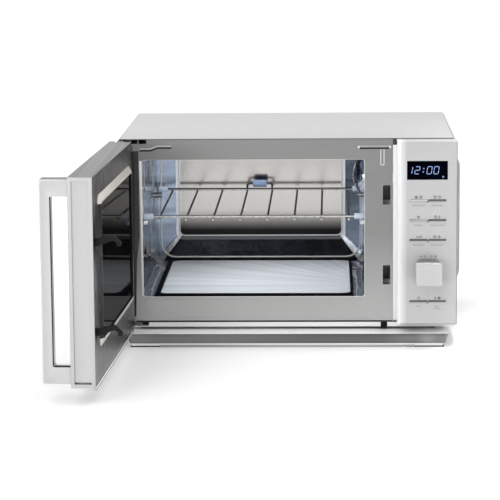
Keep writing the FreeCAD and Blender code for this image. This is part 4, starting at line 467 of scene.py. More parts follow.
def prism(shape, outline, low, high):
    """Adds a flat outline in X and Z to the bmesh, as a slab between two depths in Y."""
    front = [shape.verts.new((x, low, z)) for x, z in outline]
    back = [shape.verts.new((x, high, z)) for x, z in outline]
    shape.faces.new(front)
    shape.faces.new(back[::-1])
    for i in range(len(outline)):
        j = (i + 1) % len(outline)
        shape.faces.new((front[i], back[i], back[j], front[j]))


def slabs(name, finish, body, slot, place, *parts):
    """A piece of flat slabs, each given by its outline and two depths."""
    shape = bmesh.new()
    for outline, low, high in parts:
        prism(shape, outline, low, high)
    piece(name, mesh_of(shape, place, finish), body, smooth=0)


def box(left, right, low, high):
    return [(left, low), (right, low), (right, high), (left, high)]


def grown(sides, reach):
    """The left, right, low and high of a rectangle, moved outward."""
    left, right, low, high = sides
    return left - reach, right + reach, low - reach, high + reach


def arc(x, z, reach, start=0, end=360, steps=12):
    turns = [math.radians(start + (end - start) * i / steps) for i in range(steps + 1)]
    return [(x + reach * math.cos(t), z + reach * math.sin(t)) for t in turns]


def circle(x, z, reach, steps):
    return arc(x, z, reach, steps=steps)[:-1]


def rounded(left, right, low, high, radius, top_radius=None, steps=6):
    """The outline of a rectangle with round corners, in X and Z; the upper corners may differ."""
    top = radius if top_radius is None else top_radius
    return [
        *arc(right - top, high - top, top, 0, 90, steps), *arc(left + top, high - top, top, 90, 180, steps),
        *arc(left + radius, low + radius, radius, 180, 270, steps),
        *arc(right - radius, low + radius, radius, 270, 360, steps),
    ]


def at_depth(outline, depth):
    return [(x, depth, z) for x, z in outline]


MERGED = 2e-6
FLAT_ANGLE, SHARP_ANGLE = math.radians(0.6), math.radians(30)
EDGE_STEPS, EDGE_FULLNESS = 2, 0.6


def welded(node):
    """A node's mesh as a bmesh whose faces share their corners."""
    shape = bmesh.new()
    shape.from_mesh(frame["nodes"][node].data)
    bmesh.ops.remove_doubles(shape, verts=shape.verts, dist=MERGED)
    return shape


def soften(node, radius, finishes=None, place=OVEN):
    """A node's shape with its edges broken by a small round, and other finishes on the faces that a test picks."""
    shape = welded(node)
    bmesh.ops.dissolve_limit(
        shape, angle_limit=FLAT_ANGLE, verts=shape.verts, edges=shape.edges, use_dissolve_boundaries=False
    )
    sharp = [e for e in shape.edges if len(e.link_faces) == 2 and e.calc_face_angle() > SHARP_ANGLE]
    bmesh.ops.bevel(
        shape, geom=sharp, offset=radius * MM, segments=EDGE_STEPS, profile=EDGE_FULLNESS, affect="EDGES",
        clamp_overlap=True,
    )
    back = place.inverted()
    turn = back.to_3x3()
    finishes = finishes or {}
    for face in shape.faces:
        face.material_index = 0
        for index, test in enumerate(finishes.values(), start=1):
            if test(back @ face.calc_center_median(), (turn @ face.normal).normalized()):
                face.material_index = index
    mesh = bpy.data.meshes.new("shape")
    shape.to_mesh(mesh)
    shape.free()
    for finish in (FINISHES[node_slot[node]], *finishes):
        mesh.materials.append(finish)
    piece(node + "_rounded", mesh, node_body[node], (node,))


class NodeTree(Nodes):
    """A Geometry Nodes tree being made, with named inputs for its sizes and its finish."""

    def __init__(self, name, **kinds):
        super().__init__(bpy.data.node_groups.new(name, "GeometryNodeTree"))
        new_socket = self.tree.interface.new_socket
        new_socket(name="Geometry", in_out="OUTPUT", socket_type="NodeSocketGeometry")
        self.keys = {}
        for key, kind in {"Geometry": "Geometry", **kinds, "Finish": "Material"}.items():
            self.keys[key] = new_socket(name=key, in_out="INPUT", socket_type="NodeSocket" + kind).identifier
        self.given = self.add("NodeGroupInput").outputs

    def end(self, output):
        """Real faces with the finish that the tree is given."""
        real = self.add("GeometryNodeRealizeInstances", {"Geometry": output}).outputs["Geometry"]
        coat = self.add("GeometryNodeSetMaterial", {"Geometry": real, "Material": self.given["Finish"]})
        self.add("NodeGroupOutput", {"Geometry": coat.outputs["Geometry"]})
        return self

    def grow(self, host, **sizes):
        """Runs the tree on an object and gives its result as a plain mesh; the object goes."""
        modifier = host.modifiers.new("grow", "NODES")
        modifier.node_group = self.tree
        for name, value in sizes.items():
            modifier[self.keys[name]] = value
        return baked(host)


def wire_tree():
    """A round wire swept along a path whose corners are bent to a radius."""
    made = NodeTree("bent_wire", Thickness="Float", Bend="Float", Sides="Int")
    given = made.given
    bend = {"Curve": given["Geometry"], "Radius": given["Bend"], "Count": 6, "Limit Radius": True}
    path = made.add("GeometryNodeFilletCurve", bend, mode="POLY").outputs["Curve"]
    section = {"Resolution": given["Sides"], "Radius": given["Thickness"]}
    ring = made.add("GeometryNodeCurvePrimitiveCircle", section).outputs["Curve"]
    sweep = {"Curve": path, "Profile Curve": ring, "Fill Caps": True}
    return made.end(made.add("GeometryNodeCurveToMesh", sweep).outputs["Mesh"])


def scatter_tree():
    """One shape set at every point of the mesh that it is run on."""
    made = NodeTree("repeated_shape", Shape="Object")
    shape = made.add("GeometryNodeObjectInfo", {"Object": made.given["Shape"]}).outputs["Geometry"]
    spots = made.add("GeometryNodeInstanceOnPoints", {"Points": made.given["Geometry"], "Instance": shape})
    return made.end(spots.outputs["Instances"])


WIRES = wire_tree()
SCATTER = scatter_tree()


def wires(paths, thickness, bend, finish, sides=12, flat=1.0, closed=False):
    """Wires along paths in millimetres, as one mesh in the frame; flat squeezes them in depth first."""
    curve = bpy.data.curves.new("paths", "CURVE")
    curve.dimensions = "3D"
    for points in paths:
        spline = curve.splines.new("POLY")
        spline.points.add(len(points) - 1)
        spline.use_cyclic_u = closed
        for spot, point in zip(spline.points, points):
            spot.co = (*point, 1)
    mesh = WIRES.grow(new_object("paths", curve), Thickness=thickness, Bend=bend, Sides=sides, Finish=finish)
    mesh.transform(Matrix.Diagonal((1, flat, 1, 1)))
    mesh.transform(OVEN)
    return mesh


def wire_piece(name, paths, thickness, bend, finish, sides=8, flat=1.0, closed=False):
    piece(name, wires(paths, thickness, bend, finish, sides, flat, closed), "oven")


def scatter(points, shape, finish, place):
    """A shape repeated at points in millimetres, as one mesh in the frame."""
    spots = bpy.data.meshes.new("spots")
    spots.from_pydata(points, [], [])
    pattern = new_object("pattern", shape)
    mesh = SCATTER.grow(new_object("spots", spots), Shape=pattern, Finish=finish)
    bpy.data.objects.remove(pattern)
    mesh.transform(place)
    return mesh


RACK_LEFT, RACK_RIGHT = -192.5, 103.5
RACK_MIDDLE = (RACK_LEFT + RACK_RIGHT) / 2
RACK_FRONT, RACK_BACK = 16.0, 290.0
RACK_Z = 169.7


# Rounded edges on the pieces whose edges the camera sees, with the finish of each face where they differ: painted
# shade on the casing's front edge, top bends and right-hand side and on the panel's right-hand side, painted
# highlight on the panel's bevel and the handle's gap faces, painted light on the plinth's ledge
def faces_right(centre, normal):
    return normal.x > 0.6


def door_top_face(centre, normal):
    return normal.z > 0.9 and centre.z > 270


def handle_gap_face(centre, normal):
    return (normal.y > 0.9 and centre.y < -40) or (abs(normal.z) > 0.9 and 40 < centre.z < 260)


# Painted shade on the casing's front edge, top bends and right-hand side
soften("outer_casing", 0.2, {
    CASING_EDGE_PAINTED_SHADE: lambda centre, normal: normal.y < -0.6,
    CASING_SIDE_PAINTED_SHADE: faces_right,
    CASING_BEND_PAINTED_SHADE: lambda centre, normal: normal.z > 0.25 and abs(normal.x) > 0.25,
})
# Painted highlight on the panel's left bevel; its right-hand side is shaded
soften("control_housing", 0.7, {
    PANEL_BEVEL_PAINTED_HIGHLIGHT: lambda centre, normal: normal.x < -0.3 and normal.y < -0.3 and centre.y < -20,
    SHADED_SIDE: faces_right,
})
soften("door_frame", 1.0, {
    FINISHES["panel_steel"]: lambda centre, normal: normal.y > 0.9 and centre.z > 24,
    DOOR_TOP: door_top_face,
}, DOOR)
# Painted highlight on the faces of the handle round its gap
soften("handle", 0.8, {PANEL_BEVEL_PAINTED_HIGHLIGHT: handle_gap_face, DOOR_TOP: door_top_face}, DOOR)
# Painted light on the top faces of the plinth's ledge
soften("plinth", 0.8, {LEDGE_PAINTED_LIGHT: lambda centre, normal: normal.z > 0.5 and centre.z > 15})
soften("rack_sleeves", 0.6, {SLEEVE_BLUE: lambda centre, normal: abs(centre.x - RACK_MIDDLE) < 30})
for node, radius in (
    ("ceramic_plate", 1.2), ("display_window", 0.3), ("lower_hinge", 0.4), ("bumper_clip", 0.4),
    ("latch_hooks", 0.4), ("feet", 0.8),
):
    soften(node, radius)


def hooped(rings, caps=True):
    """A bmesh skin over rings of equal length; the first and last rings are closed where caps is set."""
    shape = bmesh.new()
    rows = [[shape.verts.new(point) for point in ring] for ring in rings]
    pairs = list(zip(rows, rows[1:] if caps else rows[1:] + rows[:1]))
    for index, (one, two) in enumerate(pairs):
        for i in range(len(one)):
            j = (i + 1) % len(one)
            shape.faces.new((one[i], two[i], two[j], one[j])).material_index = index
    if caps:
        shape.faces.new(rows[0]).material_index = 0
        shape.faces.new(rows[-1][::-1]).material_index = len(pairs) - 1
    return shape


def hooped_piece(name, rings, finishes, body, stands_for, caps=True, smooth=35):
    """A skin over rings, with a finish for each step between rings (the last one goes on to the end)."""
    shape = hooped(rings, caps)
    made = list(dict.fromkeys(finishes))
    for face in shape.faces:
        face.material_index = made.index(finishes[min(face.material_index, len(finishes) - 1)])
    piece(name, mesh_of(shape, OVEN, *made), body, stands_for, smooth)


# Cavity: deep-drawn back with painted light on its crease, slopes and corners, seam beads, sealing bead, lamp dome
# and the rolled edge of the opening
TUBE_END, BACK_DRAW = 316.0, 9.0
CAVITY_SIDES = (-196.0, 107.0, 58.5, 251.0)
FLAT_SIDES = (-164.3, 75.3, 96.0, 219.3)
# Columns of the back's rings, which are four round corners that start at the upper right
CORNER_STEPS = 9
LEFT_SIDE, RIGHT_SIDE = range(14, 23), (*range(36, 40), *range(0, 5))
LOWER_CORNERS = (23, 24, 25, 33, 34, 35)


def mouth(grow):
    return rounded(*grown(CAVITY_SIDES, grow), 16 + grow, 5 + grow, CORNER_STEPS)


def middle(grow):
    return rounded(*grown(FLAT_SIDES, grow), max(8 + grow, 0.5), steps=CORNER_STEPS)


def drawn_slope(share, turn=0.1):
    """Depth lost from the middle (0) to the mouth (1) of the drawn back, with round creases at both ends."""
    if share < turn:
        return share * share / (2 * turn * (1 - turn))
    if share > 1 - turn:
        return 1 - (1 - share) ** 2 / (2 * turn * (1 - turn))
    return (share - turn / 2) / (1 - turn)


def drawn_back():
    """Flat middle, round crease, sloping sides and a flange, with the sheet's second skin behind them; the one sheet
    takes painted highlight, shade and reflections by region.
    """
    floor = TUBE_END + BACK_DRAW
    steps = (0.04, 0.08, 0.12, 0.16, 0.25, 0.4, 0.55, 0.7, 0.84, 0.9, 0.95, 1.0)
    crease_steps = 4
    crease_inset, flange, sheet = 4, 8, 1

    def slope(share, skin):
        depth = floor + (TUBE_END - floor) * drawn_slope(share)
        return [
            (x0 + (x1 - x0) * share, depth + skin, z0 + (z1 - z0) * share)
            for (x0, z0), (x1, z1) in zip(middle(skin), mouth(skin))
        ]

    rings = [at_depth(middle(-inset), floor) for inset in (crease_inset, 0)]
    rings += [slope(share, 0) for share in steps]
    rings += [at_depth(mouth(flange), depth) for depth in (TUBE_END, TUBE_END + sheet)]
    rings += [slope(share, sheet) for share in steps[::-1]]
    rings.append(at_depth(middle(sheet), floor + sheet))
    shape = hooped(rings)
    enamel = FINISHES["back_enamel"]
    finishes = [enamel, CREASE_PAINTED_HIGHLIGHT, CREASE_FOOT_PAINTED_SHADE, FLOOR_SLOPE_PAINTED_SHADE, SIDE_SLOPE_PAINTED_REFLECTION, BACK_CORNER_PAINTED_HIGHLIGHT]
    # Painted light by region of the one sheet: highlight on the crease beside the sides and lower corners, shade on
    # the crease's foot and the other slopes, reflections on the side slopes and a highlight streak on the lower
    # corners
    for number, face in enumerate(shape.faces):
        step, column = divmod(number, len(rings[0]))
        side = column in LEFT_SIDE or column in RIGHT_SIDE
        corner = column in LOWER_CORNERS
        if face.material_index == 0:
            finish = enamel
        elif step <= crease_steps:
            finish = CREASE_PAINTED_HIGHLIGHT if side or corner else CREASE_FOOT_PAINTED_SHADE
        elif step > len(steps):
            finish = FLOOR_SLOPE_PAINTED_SHADE
        else:
            finish = SIDE_SLOPE_PAINTED_REFLECTION if side else BACK_CORNER_PAINTED_HIGHLIGHT if corner else FLOOR_SLOPE_PAINTED_SHADE
        face.material_index = finishes.index(finish)
    piece("cavity_back_drawn", mesh_of(shape, OVEN, *finishes), "oven", ("cavity_back",), smooth=50)


def cavity_seams():
    """Beads where the back is creased and joined, and the rolled edge of the opening, in pale paint as painted
    highlight.
    """
    crease = at_depth(middle(0), TUBE_END + BACK_DRAW - 0.3)
    joint = at_depth(rounded(-191, 102.5, 65.0, 246, 21, 5), TUBE_END + 0.9)
    rim = at_depth(rounded(-193.5, 104.5, 62.5, 248.5, 4.0), 0.9)
    wire_piece("back_crease_bead", [crease], 0.9, 0.0, PAINTED_EDGE_HIGHLIGHT, closed=True)
    wire_piece("back_seam_bead", [joint], 1.2, 0.0, PAINTED_EDGE_HIGHLIGHT, closed=True)
    wire_piece("opening_rolled_edge", [rim], 0.6, 0.0, PAINTED_EDGE_HIGHLIGHT, sides=10, closed=True)


def floor_bead():
    """Black sealing bead round the ceramic plate, smoothed down to the steel floor."""
    inner = (-172.5, 85.3, 22.0, 297.0)
    outer = (-181.5, 89.6, 5.0, 315.5)
    profile = ((0.0, 62.6), (0.0, 63.3), (0.12, 64.2), (0.4, 64.4), (0.7, 63.2), (0.9, 60.8), (1.0, 58.6))
    rings = []
    for share, level in profile:
        sides = (a + (b - a) * share for a, b in zip(inner, outer))
        rings.append([(x, y, level) for x, y in rounded(*sides, 12 + 6 * share)])
    seal = FINISHES["seal_rubber"]
    hooped_piece("floor_bead", rings, [seal], "oven", ("floor_seal",), caps=False)


def lamp_dome():
    """Smooth bright dome over the oven lamp, on the right-hand wall."""
    wall, middle_y, middle_z, radius, rise, sheet = 107.0, 215.0, 199.0, 27.0, 16.5, 0.8

    def hoop(turn, skin):
        x = wall - (rise - skin) * math.cos(turn)
        return [(x, y, z) for y, z in circle(middle_y, middle_z, (radius - skin) * math.sin(turn), 32)]

    turns = [math.radians(t) for t in (3, 9, 18, 27, 36, 45, 54, 63, 72, 81, 90)]
    rings = [hoop(turn, 0) for turn in turns] + [hoop(turn, sheet) for turn in turns[::-1]]
    hooped_piece("lamp_dome_pressed", rings, [DOME_STEEL], "oven", ("lamp_dome",), smooth=60)


drawn_back()
cavity_seams()
floor_bead()
lamp_dome()


# Front plate: lanced ribs at its upper corners, with painted shadow for the slits under them, and narrow strips of
# painted shade and highlight along its edges
def plate_ribs():
    def slit(path, drop):
        return [(x, y, z - drop) for x, y, z in path]

    hinge_rib = [(-195.5, 0, 262.8), (-181.3, 0, 262.8), (-172.0, 0, 266.4), (-153.0, 0, 266.4)]
    latch_rib = [(97.6, 0, 265.2), (136.8, 0, 265.2)]
    stem_edge = [(125.7, 0, 261.5), (125.7, 0, 240.4), (130.0, 0, 240.4), (130.0, 0, 261.5)]
    tips = [[(x - 1.2, 0, 264.6), (x + 1.2, 0, 264.6)] for x in (96.4, 138.0)]
    slits = [slit(hinge_rib, 1.9), slit(latch_rib, 2.0)]
    wire_piece("corner_ribs", [hinge_rib, latch_rib], 1.3, 4.0, RIB, sides=16, flat=0.55)
    wire_piece("latch_rib_stem", [stem_edge], 0.55, 1.6, PAINTED_EDGE_HIGHLIGHT)
    wire_piece("latch_rib_tips", tips, 1.6, 0.0, PAINTED_EDGE_HIGHLIGHT, sides=12, flat=0.45)
    # Painted shadow: dark wires stand for the slits under the ribs
    wire_piece("rib_slits", slits, 1.2, 4.0, PAINTED_SHADOW, flat=0.6)


def plate_strips():
    beside_hinge = [(-206.5, 36), (-203.4, 36), (-201.6, 110), (-197.3, 145), (-197.3, 260), (-206.5, 260)]
    beside_opening = [(-195.6, 64), (-193.7, 64), (-193.7, 247), (-196.8, 247)]
    # Painted shade beside the hinge and in the gap along the plate's foot; painted highlight on the left edge of the
    # opening
    for name, outline, finish in (
        ("hinge_side_strip", beside_hinge, PLATE_PAINTED_SHADE), ("opening_left_edge", beside_opening, PAINTED_EDGE_HIGHLIGHT),
        ("plate_foot_gap", box(-204, 141, 28.6, 30.3), PLATE_PAINTED_SHADE),
    ):
        slabs(name, finish, "oven", "front_steel", OVEN, (outline, -0.3, 0.2))


plate_ribs()
plate_strips()


# Rack: bent chrome wires with a loop at the back to lift it by, with painted highlight under the bars and on the rung
# tips
def rack():
    bars = [[(RACK_LEFT, y, RACK_Z), (RACK_RIGHT, y, RACK_Z)] for y in (RACK_FRONT, RACK_BACK)]
    low = RACK_Z - 2.9
    count, inset = 8, 20.5
    rungs = []
    for i in range(count):
        x = RACK_LEFT + inset + i * (RACK_RIGHT - RACK_LEFT - 2 * inset) / (count - 1)
        rungs.append([(x, 13.0, low - 1.2), (x, 17.0, low), (x, RACK_BACK + 3, low)])
    side, lean, lift = 18.0, 2, 8
    bail = [
        (RACK_MIDDLE - side, RACK_BACK, RACK_Z), (RACK_MIDDLE - side, RACK_BACK + lean, RACK_Z + lift),
        (RACK_MIDDLE + side, RACK_BACK + lean, RACK_Z + lift), (RACK_MIDDLE + side, RACK_BACK, RACK_Z),
    ]
    chrome = FINISHES["rack_chrome"]
    shape = bmesh.new()
    shape.from_mesh(wires(bars, 1.8, 0.0, chrome, sides=16))
    # Painted highlight on the downward faces of the bars
    for face in shape.faces:
        face.material_index = 1 if face.normal.z < -0.1 else 0
    shape.from_mesh(wires([*rungs, bail], 1.4, 3.0, chrome))
    # Painted highlight on the rung tips in front of the front bar
    tip = (OVEN @ Vector((0, RACK_FRONT - 1.5, 0))).y
    for face in shape.faces:
        if face.calc_center_median().y < tip and abs(face.normal.x) < 0.99:
            face.material_index = 1
    piece("rack_bent_wires", mesh_of(shape, None, chrome, RACK_PAINTED_HIGHLIGHT), "rack", ("rack",))


rack()

# Door: low raised frame in painted light and shade, pale above and below and dark at the sides, with painted shade on
# the wall down to the inner glass
RAISE_BASE, RAISE_TOP = -1.0, 3.0
RAISE_LOW, RAISE_HIGH = 63.3, 247.7
RAISE_SIDES = (-192.7, 103.7, RAISE_LOW, RAISE_HIGH)
GLASS_FACE = 1.1


def raised_frame():
    """The bevel rises from the door panel, turns over a narrow rim and drops to the glass."""
    profile = (
        (0.0, RAISE_BASE), (0.5, -0.6), (5.8, 2.3), (6.2, 2.65), (6.7, 2.9), (7.2, RAISE_TOP), (8.9, RAISE_TOP),
        (9.25, 2.9), (9.5, 2.6), (9.5, GLASS_FACE), (7.2, GLASS_FACE), (7.2, 1.6), (6.0, 1.6), (2.0, RAISE_BASE),
    )
    rim_end, end_band = 8, 11
    rings = []
    for inset, depth in profile:
        rings.append(at_depth(rounded(*grown(RAISE_SIDES, -inset), max(10.5 - inset, 1.6)), depth))
    shape = hooped(rings, caps=False)
    # Painted light and shade: pale bevels above and below, dark at the sides, painted shade from the rim down to the
    # glass
    for face in shape.faces:
        z = face.calc_center_median().z
        from_end = min(z - RAISE_LOW, RAISE_HIGH - z)
        face.material_index = 0 if face.material_index >= rim_end else 1 if from_end < end_band else 2
    mesh = mesh_of(shape, DOOR, PAINTED_SHADOW, BEVEL_PAINTED_LIGHT, FINISHES["choke_plastic"])
    piece("raised_frame", mesh, "door", ("choke_frame",))


def screen_holes():
    """Rows of holes in the screen, seen through the outer glass, drawn as dark discs of painted shadow."""
    rows, columns, pitch, row_share = 58, 86, 3.2, 0.866
    left, low, depth = -181.0, 76.0, -3.24
    points = []
    for row in range(rows):
        for column in range(columns):
            points.append((left + pitch * (column + 0.5 * (row % 2)), depth, low + row * pitch * row_share))
    disc = bpy.data.meshes.new("hole")
    disc.from_pydata(at_depth(circle(0, 0, 1, 6), 0), [], [range(6)])
    piece("screen_holes", scatter(points, disc, PAINTED_SHADOW, DOOR), "door", smooth=0)


def door_strips():
    """Painted highlight on the face of the lip under the door and painted shadow at its foot, a painted shadow line
    round the handle's gap, and the edge's joint.
    """
    slabs("door_lip_face", LEDGE_PAINTED_LIGHT, "door", "door_paint", DOOR, (box(-205, 143, 20.3, 22.8), -1.05, -0.85))
    slabs("door_lip_foot", PAINTED_SHADOW, "door", "door_paint", DOOR, (box(-205, 143, 19.25, 20.3), -1.05, -0.85))
    slabs(
        "handle_gap_line", PAINTED_SHADOW, "door", "handle_paint", DOOR,
        (box(135.0, 143.2, 47.6, 251.4), -52.6, -52.3), (box(132.0, 143.2, 46.9, 47.2), -52.3, -31.6),
    )
    slabs("door_edge_joint", DOOR_TOP, "door", "door_paint", DOOR, (box(144.4, 145.3, 26.4, 29.0), -26.5, -5.5))


raised_frame()
screen_holes()
door_strips()

# Control panel: lit display, printed legends, key ticks and the ribbed knob
PANEL_FACE = -31.0
PRINT_FRONT, PRINT_BACK = PANEL_FACE - 0.06, PANEL_FACE + 0.02
LENS_FRONT = -30.7
LIT_FRONT = LENS_FRONT - 0.12
DISPLAY_LEFT, DISPLAY_TOP = 159.6, 249.5
DIGIT_LEAN, DIGIT_BAR, DIGIT_GAP = 0.16, 0.95, 0.25
SEGMENTS = {
    "a": (0, 0, 1, 0), "b": (1, 0, 1, 1), "c": (1, 1, 1, 2), "d": (0, 2, 1, 2), "e": (0, 1, 0, 2), "f": (0, 0, 0, 1),
    "g": (0, 1, 1, 1),
}
KEY_ROWS = (197.0, 170.6, 144.2, 61.8)
KEY_MIDDLE = 187.3
SIGN_RISE, WORD_DROP, NEXT_WORD_DROP = 4.3, 7.6, 10.9


def digit(shape, left, top, width, height, segments):
    """Adds a seven-segment figure, leaning to the right."""
    w, gap, half = DIGIT_BAR / 2, DIGIT_GAP, height / 2
    for key in segments:
        x0, z0, x1, z1 = (step * size for step, size in zip(SEGMENTS[key], (width, half, width, half)))
        if z0 == z1:
            ring = [(x0 + gap, z0), (x0 + gap + w, z0 - w), (x1 - gap - w, z0 - w), (x1 - gap, z0),
                    (x1 - gap - w, z0 + w), (x0 + gap + w, z0 + w)]
        else:
            ring = [(x0, z0 + gap), (x0 + w, z0 + gap + w), (x0 + w, z1 - gap - w), (x0, z1 - gap),
                    (x0 - w, z1 - gap - w), (x0 - w, z0 + gap + w)]
        prism(shape, [(left + x + (half - z) * DIGIT_LEAN, top - z) for x, z in ring], LIT_FRONT, LENS_FRONT)


def display_light():
    """The time in four figures with a colon, and a small star below."""
    shape = bmesh.new()
    top = DISPLAY_TOP - 7.6
    for left, segments in ((0.9, "bc"), (10.6, "abged"), (26.5, "abcdef"), (35.6, "abcdef")):
        digit(shape, DISPLAY_LEFT + left, top, 6.0, 9.6, segments)
    for drop in (2.6, 7.0):
        x = DISPLAY_LEFT + 21.6 + (4.8 - drop) * DIGIT_LEAN
        prism(shape, rounded(*grown((x, x, top - drop, top - drop), 0.75), 0.3), LIT_FRONT, LENS_FRONT)
    star = []
    for i in range(12):
        reach = 0.75 if i % 2 else 1.7
        turn = math.radians(30 * i)
        star.append((DISPLAY_LEFT + 47.5 + reach * math.sin(turn), DISPLAY_TOP - 21.2 + reach * math.cos(turn)))
    prism(shape, star, LIT_FRONT, LENS_FRONT)
    piece("display_time", mesh_of(shape, OVEN, LIT), "oven", smooth=0)


def stroke(shape, points, width):
    """Adds a printed line through points in X and Z."""
    for (x0, z0), (x1, z1) in zip(points, points[1:]):
        run = Vector((x1 - x0, z1 - z0)).normalized() * width / 2
        side = Vector((-run.y, run.x))
        first, last = Vector((x0, z0)) - run, Vector((x1, z1)) + run
        prism(shape, (first + side, first - side, last - side, last + side), PRINT_FRONT, PRINT_BACK)


SIGNS = {
    "waves": [
        [(0.45 * i - 1.8, lift + 0.4 * math.sin(i * 1.57)) for i in range(9)] for lift in (-1.2, 0.0, 1.2)
    ],
    "grill": [
        [(-1.9, 1.6), (1.9, 1.6)], [(0.8 * i - 1.6, -0.4 if i % 2 else 0.9) for i in range(5)],
        [(-1.9, -1.5), (1.9, -1.5)],
    ],
    "frost": [arc(0, 0, 1.9, turn, turn + 180, 1) for turn in (0, 60, 120)],
    "drop": [[(0, 1.8), (-1.0, -0.3), *arc(0, -0.6, 1.0, 180, 360, 6), (0, 1.8)]],
    "clock": [arc(0, 0, 1.8), [(0, 1.1), (0, 0), (0.9, -0.3)]],
    "dish": [arc(0, -0.8, 1.8, 0, 180, 8), [(-2.2, -1.4), (2.2, -1.4)]],
    "scale": [[(-1.7, -1.6), (1.7, -1.6), (1.1, 0.9), (-1.1, 0.9), (-1.7, -1.6)], arc(0, 1.4, 0.5, steps=6)],
    "stop": [[(-1.4, -1.4), (1.4, -1.4), (1.4, 1.4), (-1.4, 1.4), (-1.4, -1.4)]],
    "start": [[(-1.2, -1.6), (1.5, 0), (-1.2, 1.6), (-1.2, -1.6)]],
    "tick": [[(0, -0.9), (0, 0.9)]],
    "less": [[(-1.0, 0), (1.0, 0)]],
    "more": [[(-1.0, 0), (1.0, 0)], [(0, -1.0), (0, 1.0)]],
}


def sign(shape, kind, x, z, width=0.55):
    """Adds a small printed sign about a point."""
    for line in SIGNS[kind]:
        stroke(shape, [(x + right, z + up) for right, up in line], width)


def words(shape, text, x, z, height=3.1):
    """Adds a printed legend centred on a point."""
    curve = bpy.data.curves.new("legend", "FONT")
    curve.body = text
    curve.size = height
    curve.align_x = "CENTER"
    curve.resolution_u = 2
    mesh = baked(new_object("legend", curve))
    mesh.transform(Matrix.Translation((x, PRINT_FRONT, z)) @ Matrix.Rotation(math.radians(90), 4, "X"))
    shape.from_mesh(mesh)
    bpy.data.meshes.remove(mesh)


def legends():
    """Signs above the keys, words below them, ticks between them and marks beside the knob."""
    signs = (
        (("waves", 171.8), ("grill", 178.0), ("grill", 196.4), ("clock", 202.2)),
        (("frost", 175.0), ("scale", 197.4), ("drop", 202.4)),
        (("dish", 174.2), ("drop", 178.6), ("clock", 196.4), ("frost", 202.4)),
        (("stop", 175.4), ("start", 197.2), ("waves", 202.4)),
    )
    names = (
        (("Micro Power", 175.0), ("Grill Combi", 199.0)), (("Defrost", 175.0), ("Express Cook", 199.5)),
        (("Auto Menu", 175.0), ("Timer Clock", 199.5)), (("Stop", 175.2), ("Start", 199.7)),
    )
    dark, pale = bmesh.new(), bmesh.new()
    for row, marks, texts in zip(KEY_ROWS, signs, names):
        for kind, x in marks:
            sign(dark, kind, x, row + SIGN_RISE)
        for text, x in texts:
            words(pale, text, x, row - WORD_DROP)
    words(pale, "Confirm", 199.7, KEY_ROWS[-1] - NEXT_WORD_DROP)
    for row in KEY_ROWS:
        tip = [(KEY_MIDDLE - 1.7, row - 0.6), (KEY_MIDDLE - 0.2, row - 3.4), (KEY_MIDDLE + 1.7, row - 0.6)]
        prism(dark, tip, PANEL_FACE - 0.3, PRINT_BACK)
    for kind, x in (("less", 178.4), ("tick", 183.2), ("tick", 192.6), ("more", 197.8)):
        sign(dark, kind, x, KNOB_MARKS_Z, 0.8)
    piece("key_signs", mesh_of(dark, OVEN, INK), "oven", smooth=0)
    piece("key_legends", mesh_of(pale, OVEN, PALE_INK), "oven", smooth=0)


KNOB_X, KNOB_Z, KNOB_MARKS_Z = 187.8, 102.1, 122.4
KNOB_FACE, KNOB_NECK, KNOB_BACK = -59.0, -53.0, -31.5
CAP_SIDES = (KNOB_X - 17.45, KNOB_X + 17.45, KNOB_Z - 15.5, KNOB_Z + 15.5)
GRIP_SIDES = (KNOB_X - 15.5, KNOB_X + 15.5, KNOB_Z - 15.5, KNOB_Z + 17.2)


def knob():
    """Painted square cap on a dark body with fine ribs, which are paler as a painted highlight."""

    def cap(inset, depth):
        return at_depth(rounded(*grown(CAP_SIDES, -inset), max(4 - inset, 0.8), max(2.1 - inset, 0.6)), depth)

    def grip(inset, depth):
        return at_depth(rounded(*grown(GRIP_SIDES, -inset), 5.5), depth)

    turned = ((9.0, 0.12), (5.0, 0.03), (2.2, 0.03), (1.2, 0.2), (0.5, 0.6), (0.12, 1.2), (0.0, 2.0))
    rings = [cap(inset, KNOB_FACE + depth) for inset, depth in turned]
    rings += [cap(0.0, KNOB_NECK - 0.5), cap(0.5, KNOB_NECK)]
    finishes = [FINISHES["knob_paint"]] * len(rings) + [KNOB_GRIP]
    rings += [grip(1.0, KNOB_NECK), grip(0.6, KNOB_NECK + 1), grip(0.6, KNOB_BACK)]
    hooped_piece("knob_cap_and_body", rings, finishes, "knob", ("knob",))
    rib_pitch, rib_radius = 2.1, 0.52
    ribs = []
    outline = grip(0.55, KNOB_NECK)
    for (x0, y, z0), (x1, _, z1) in zip(outline, outline[1:] + outline[:1]):
        count = max(1, round(math.hypot(x1 - x0, z1 - z0) / rib_pitch))
        ribs += [(x0 + (x1 - x0) * i / count, y + 0.6, z0 + (z1 - z0) * i / count) for i in range(count)]
    bar = bmesh.new()
    prism(bar, circle(0, 0, rib_radius, 8), 0.0, KNOB_BACK - KNOB_NECK - 1.0)
    piece("knob_ribs", scatter(ribs, mesh_of(bar, None, KNOB_RIB_PAINTED_HIGHLIGHT), KNOB_RIB_PAINTED_HIGHLIGHT, OVEN), "knob")


def panel_edges():
    """Shaded lines along the right-hand and lower edges of the panel, and a dark sheet of painted shade in the gap
    behind its upper left corner.
    """
    front, back = PANEL_FACE - 0.02, PANEL_FACE + 0.5
    slabs(
        "panel_edge_lines", SHADED_SIDE, "oven", "panel_paint", OVEN,
        (box(225.0, 225.9, 31.6, 274.4), front, back), (box(151.0, 224.9, 30.7, 31.6), front, back),
    )
    sheet = (box(141.9, 147.4, 266.5, 275.1), 0.2, 0.9)
    slabs("panel_corner_sheet", CORNER_GAP_SHADE, "oven", "front_steel", OVEN, sheet)


display_light()
legends()
knob()
panel_edges()


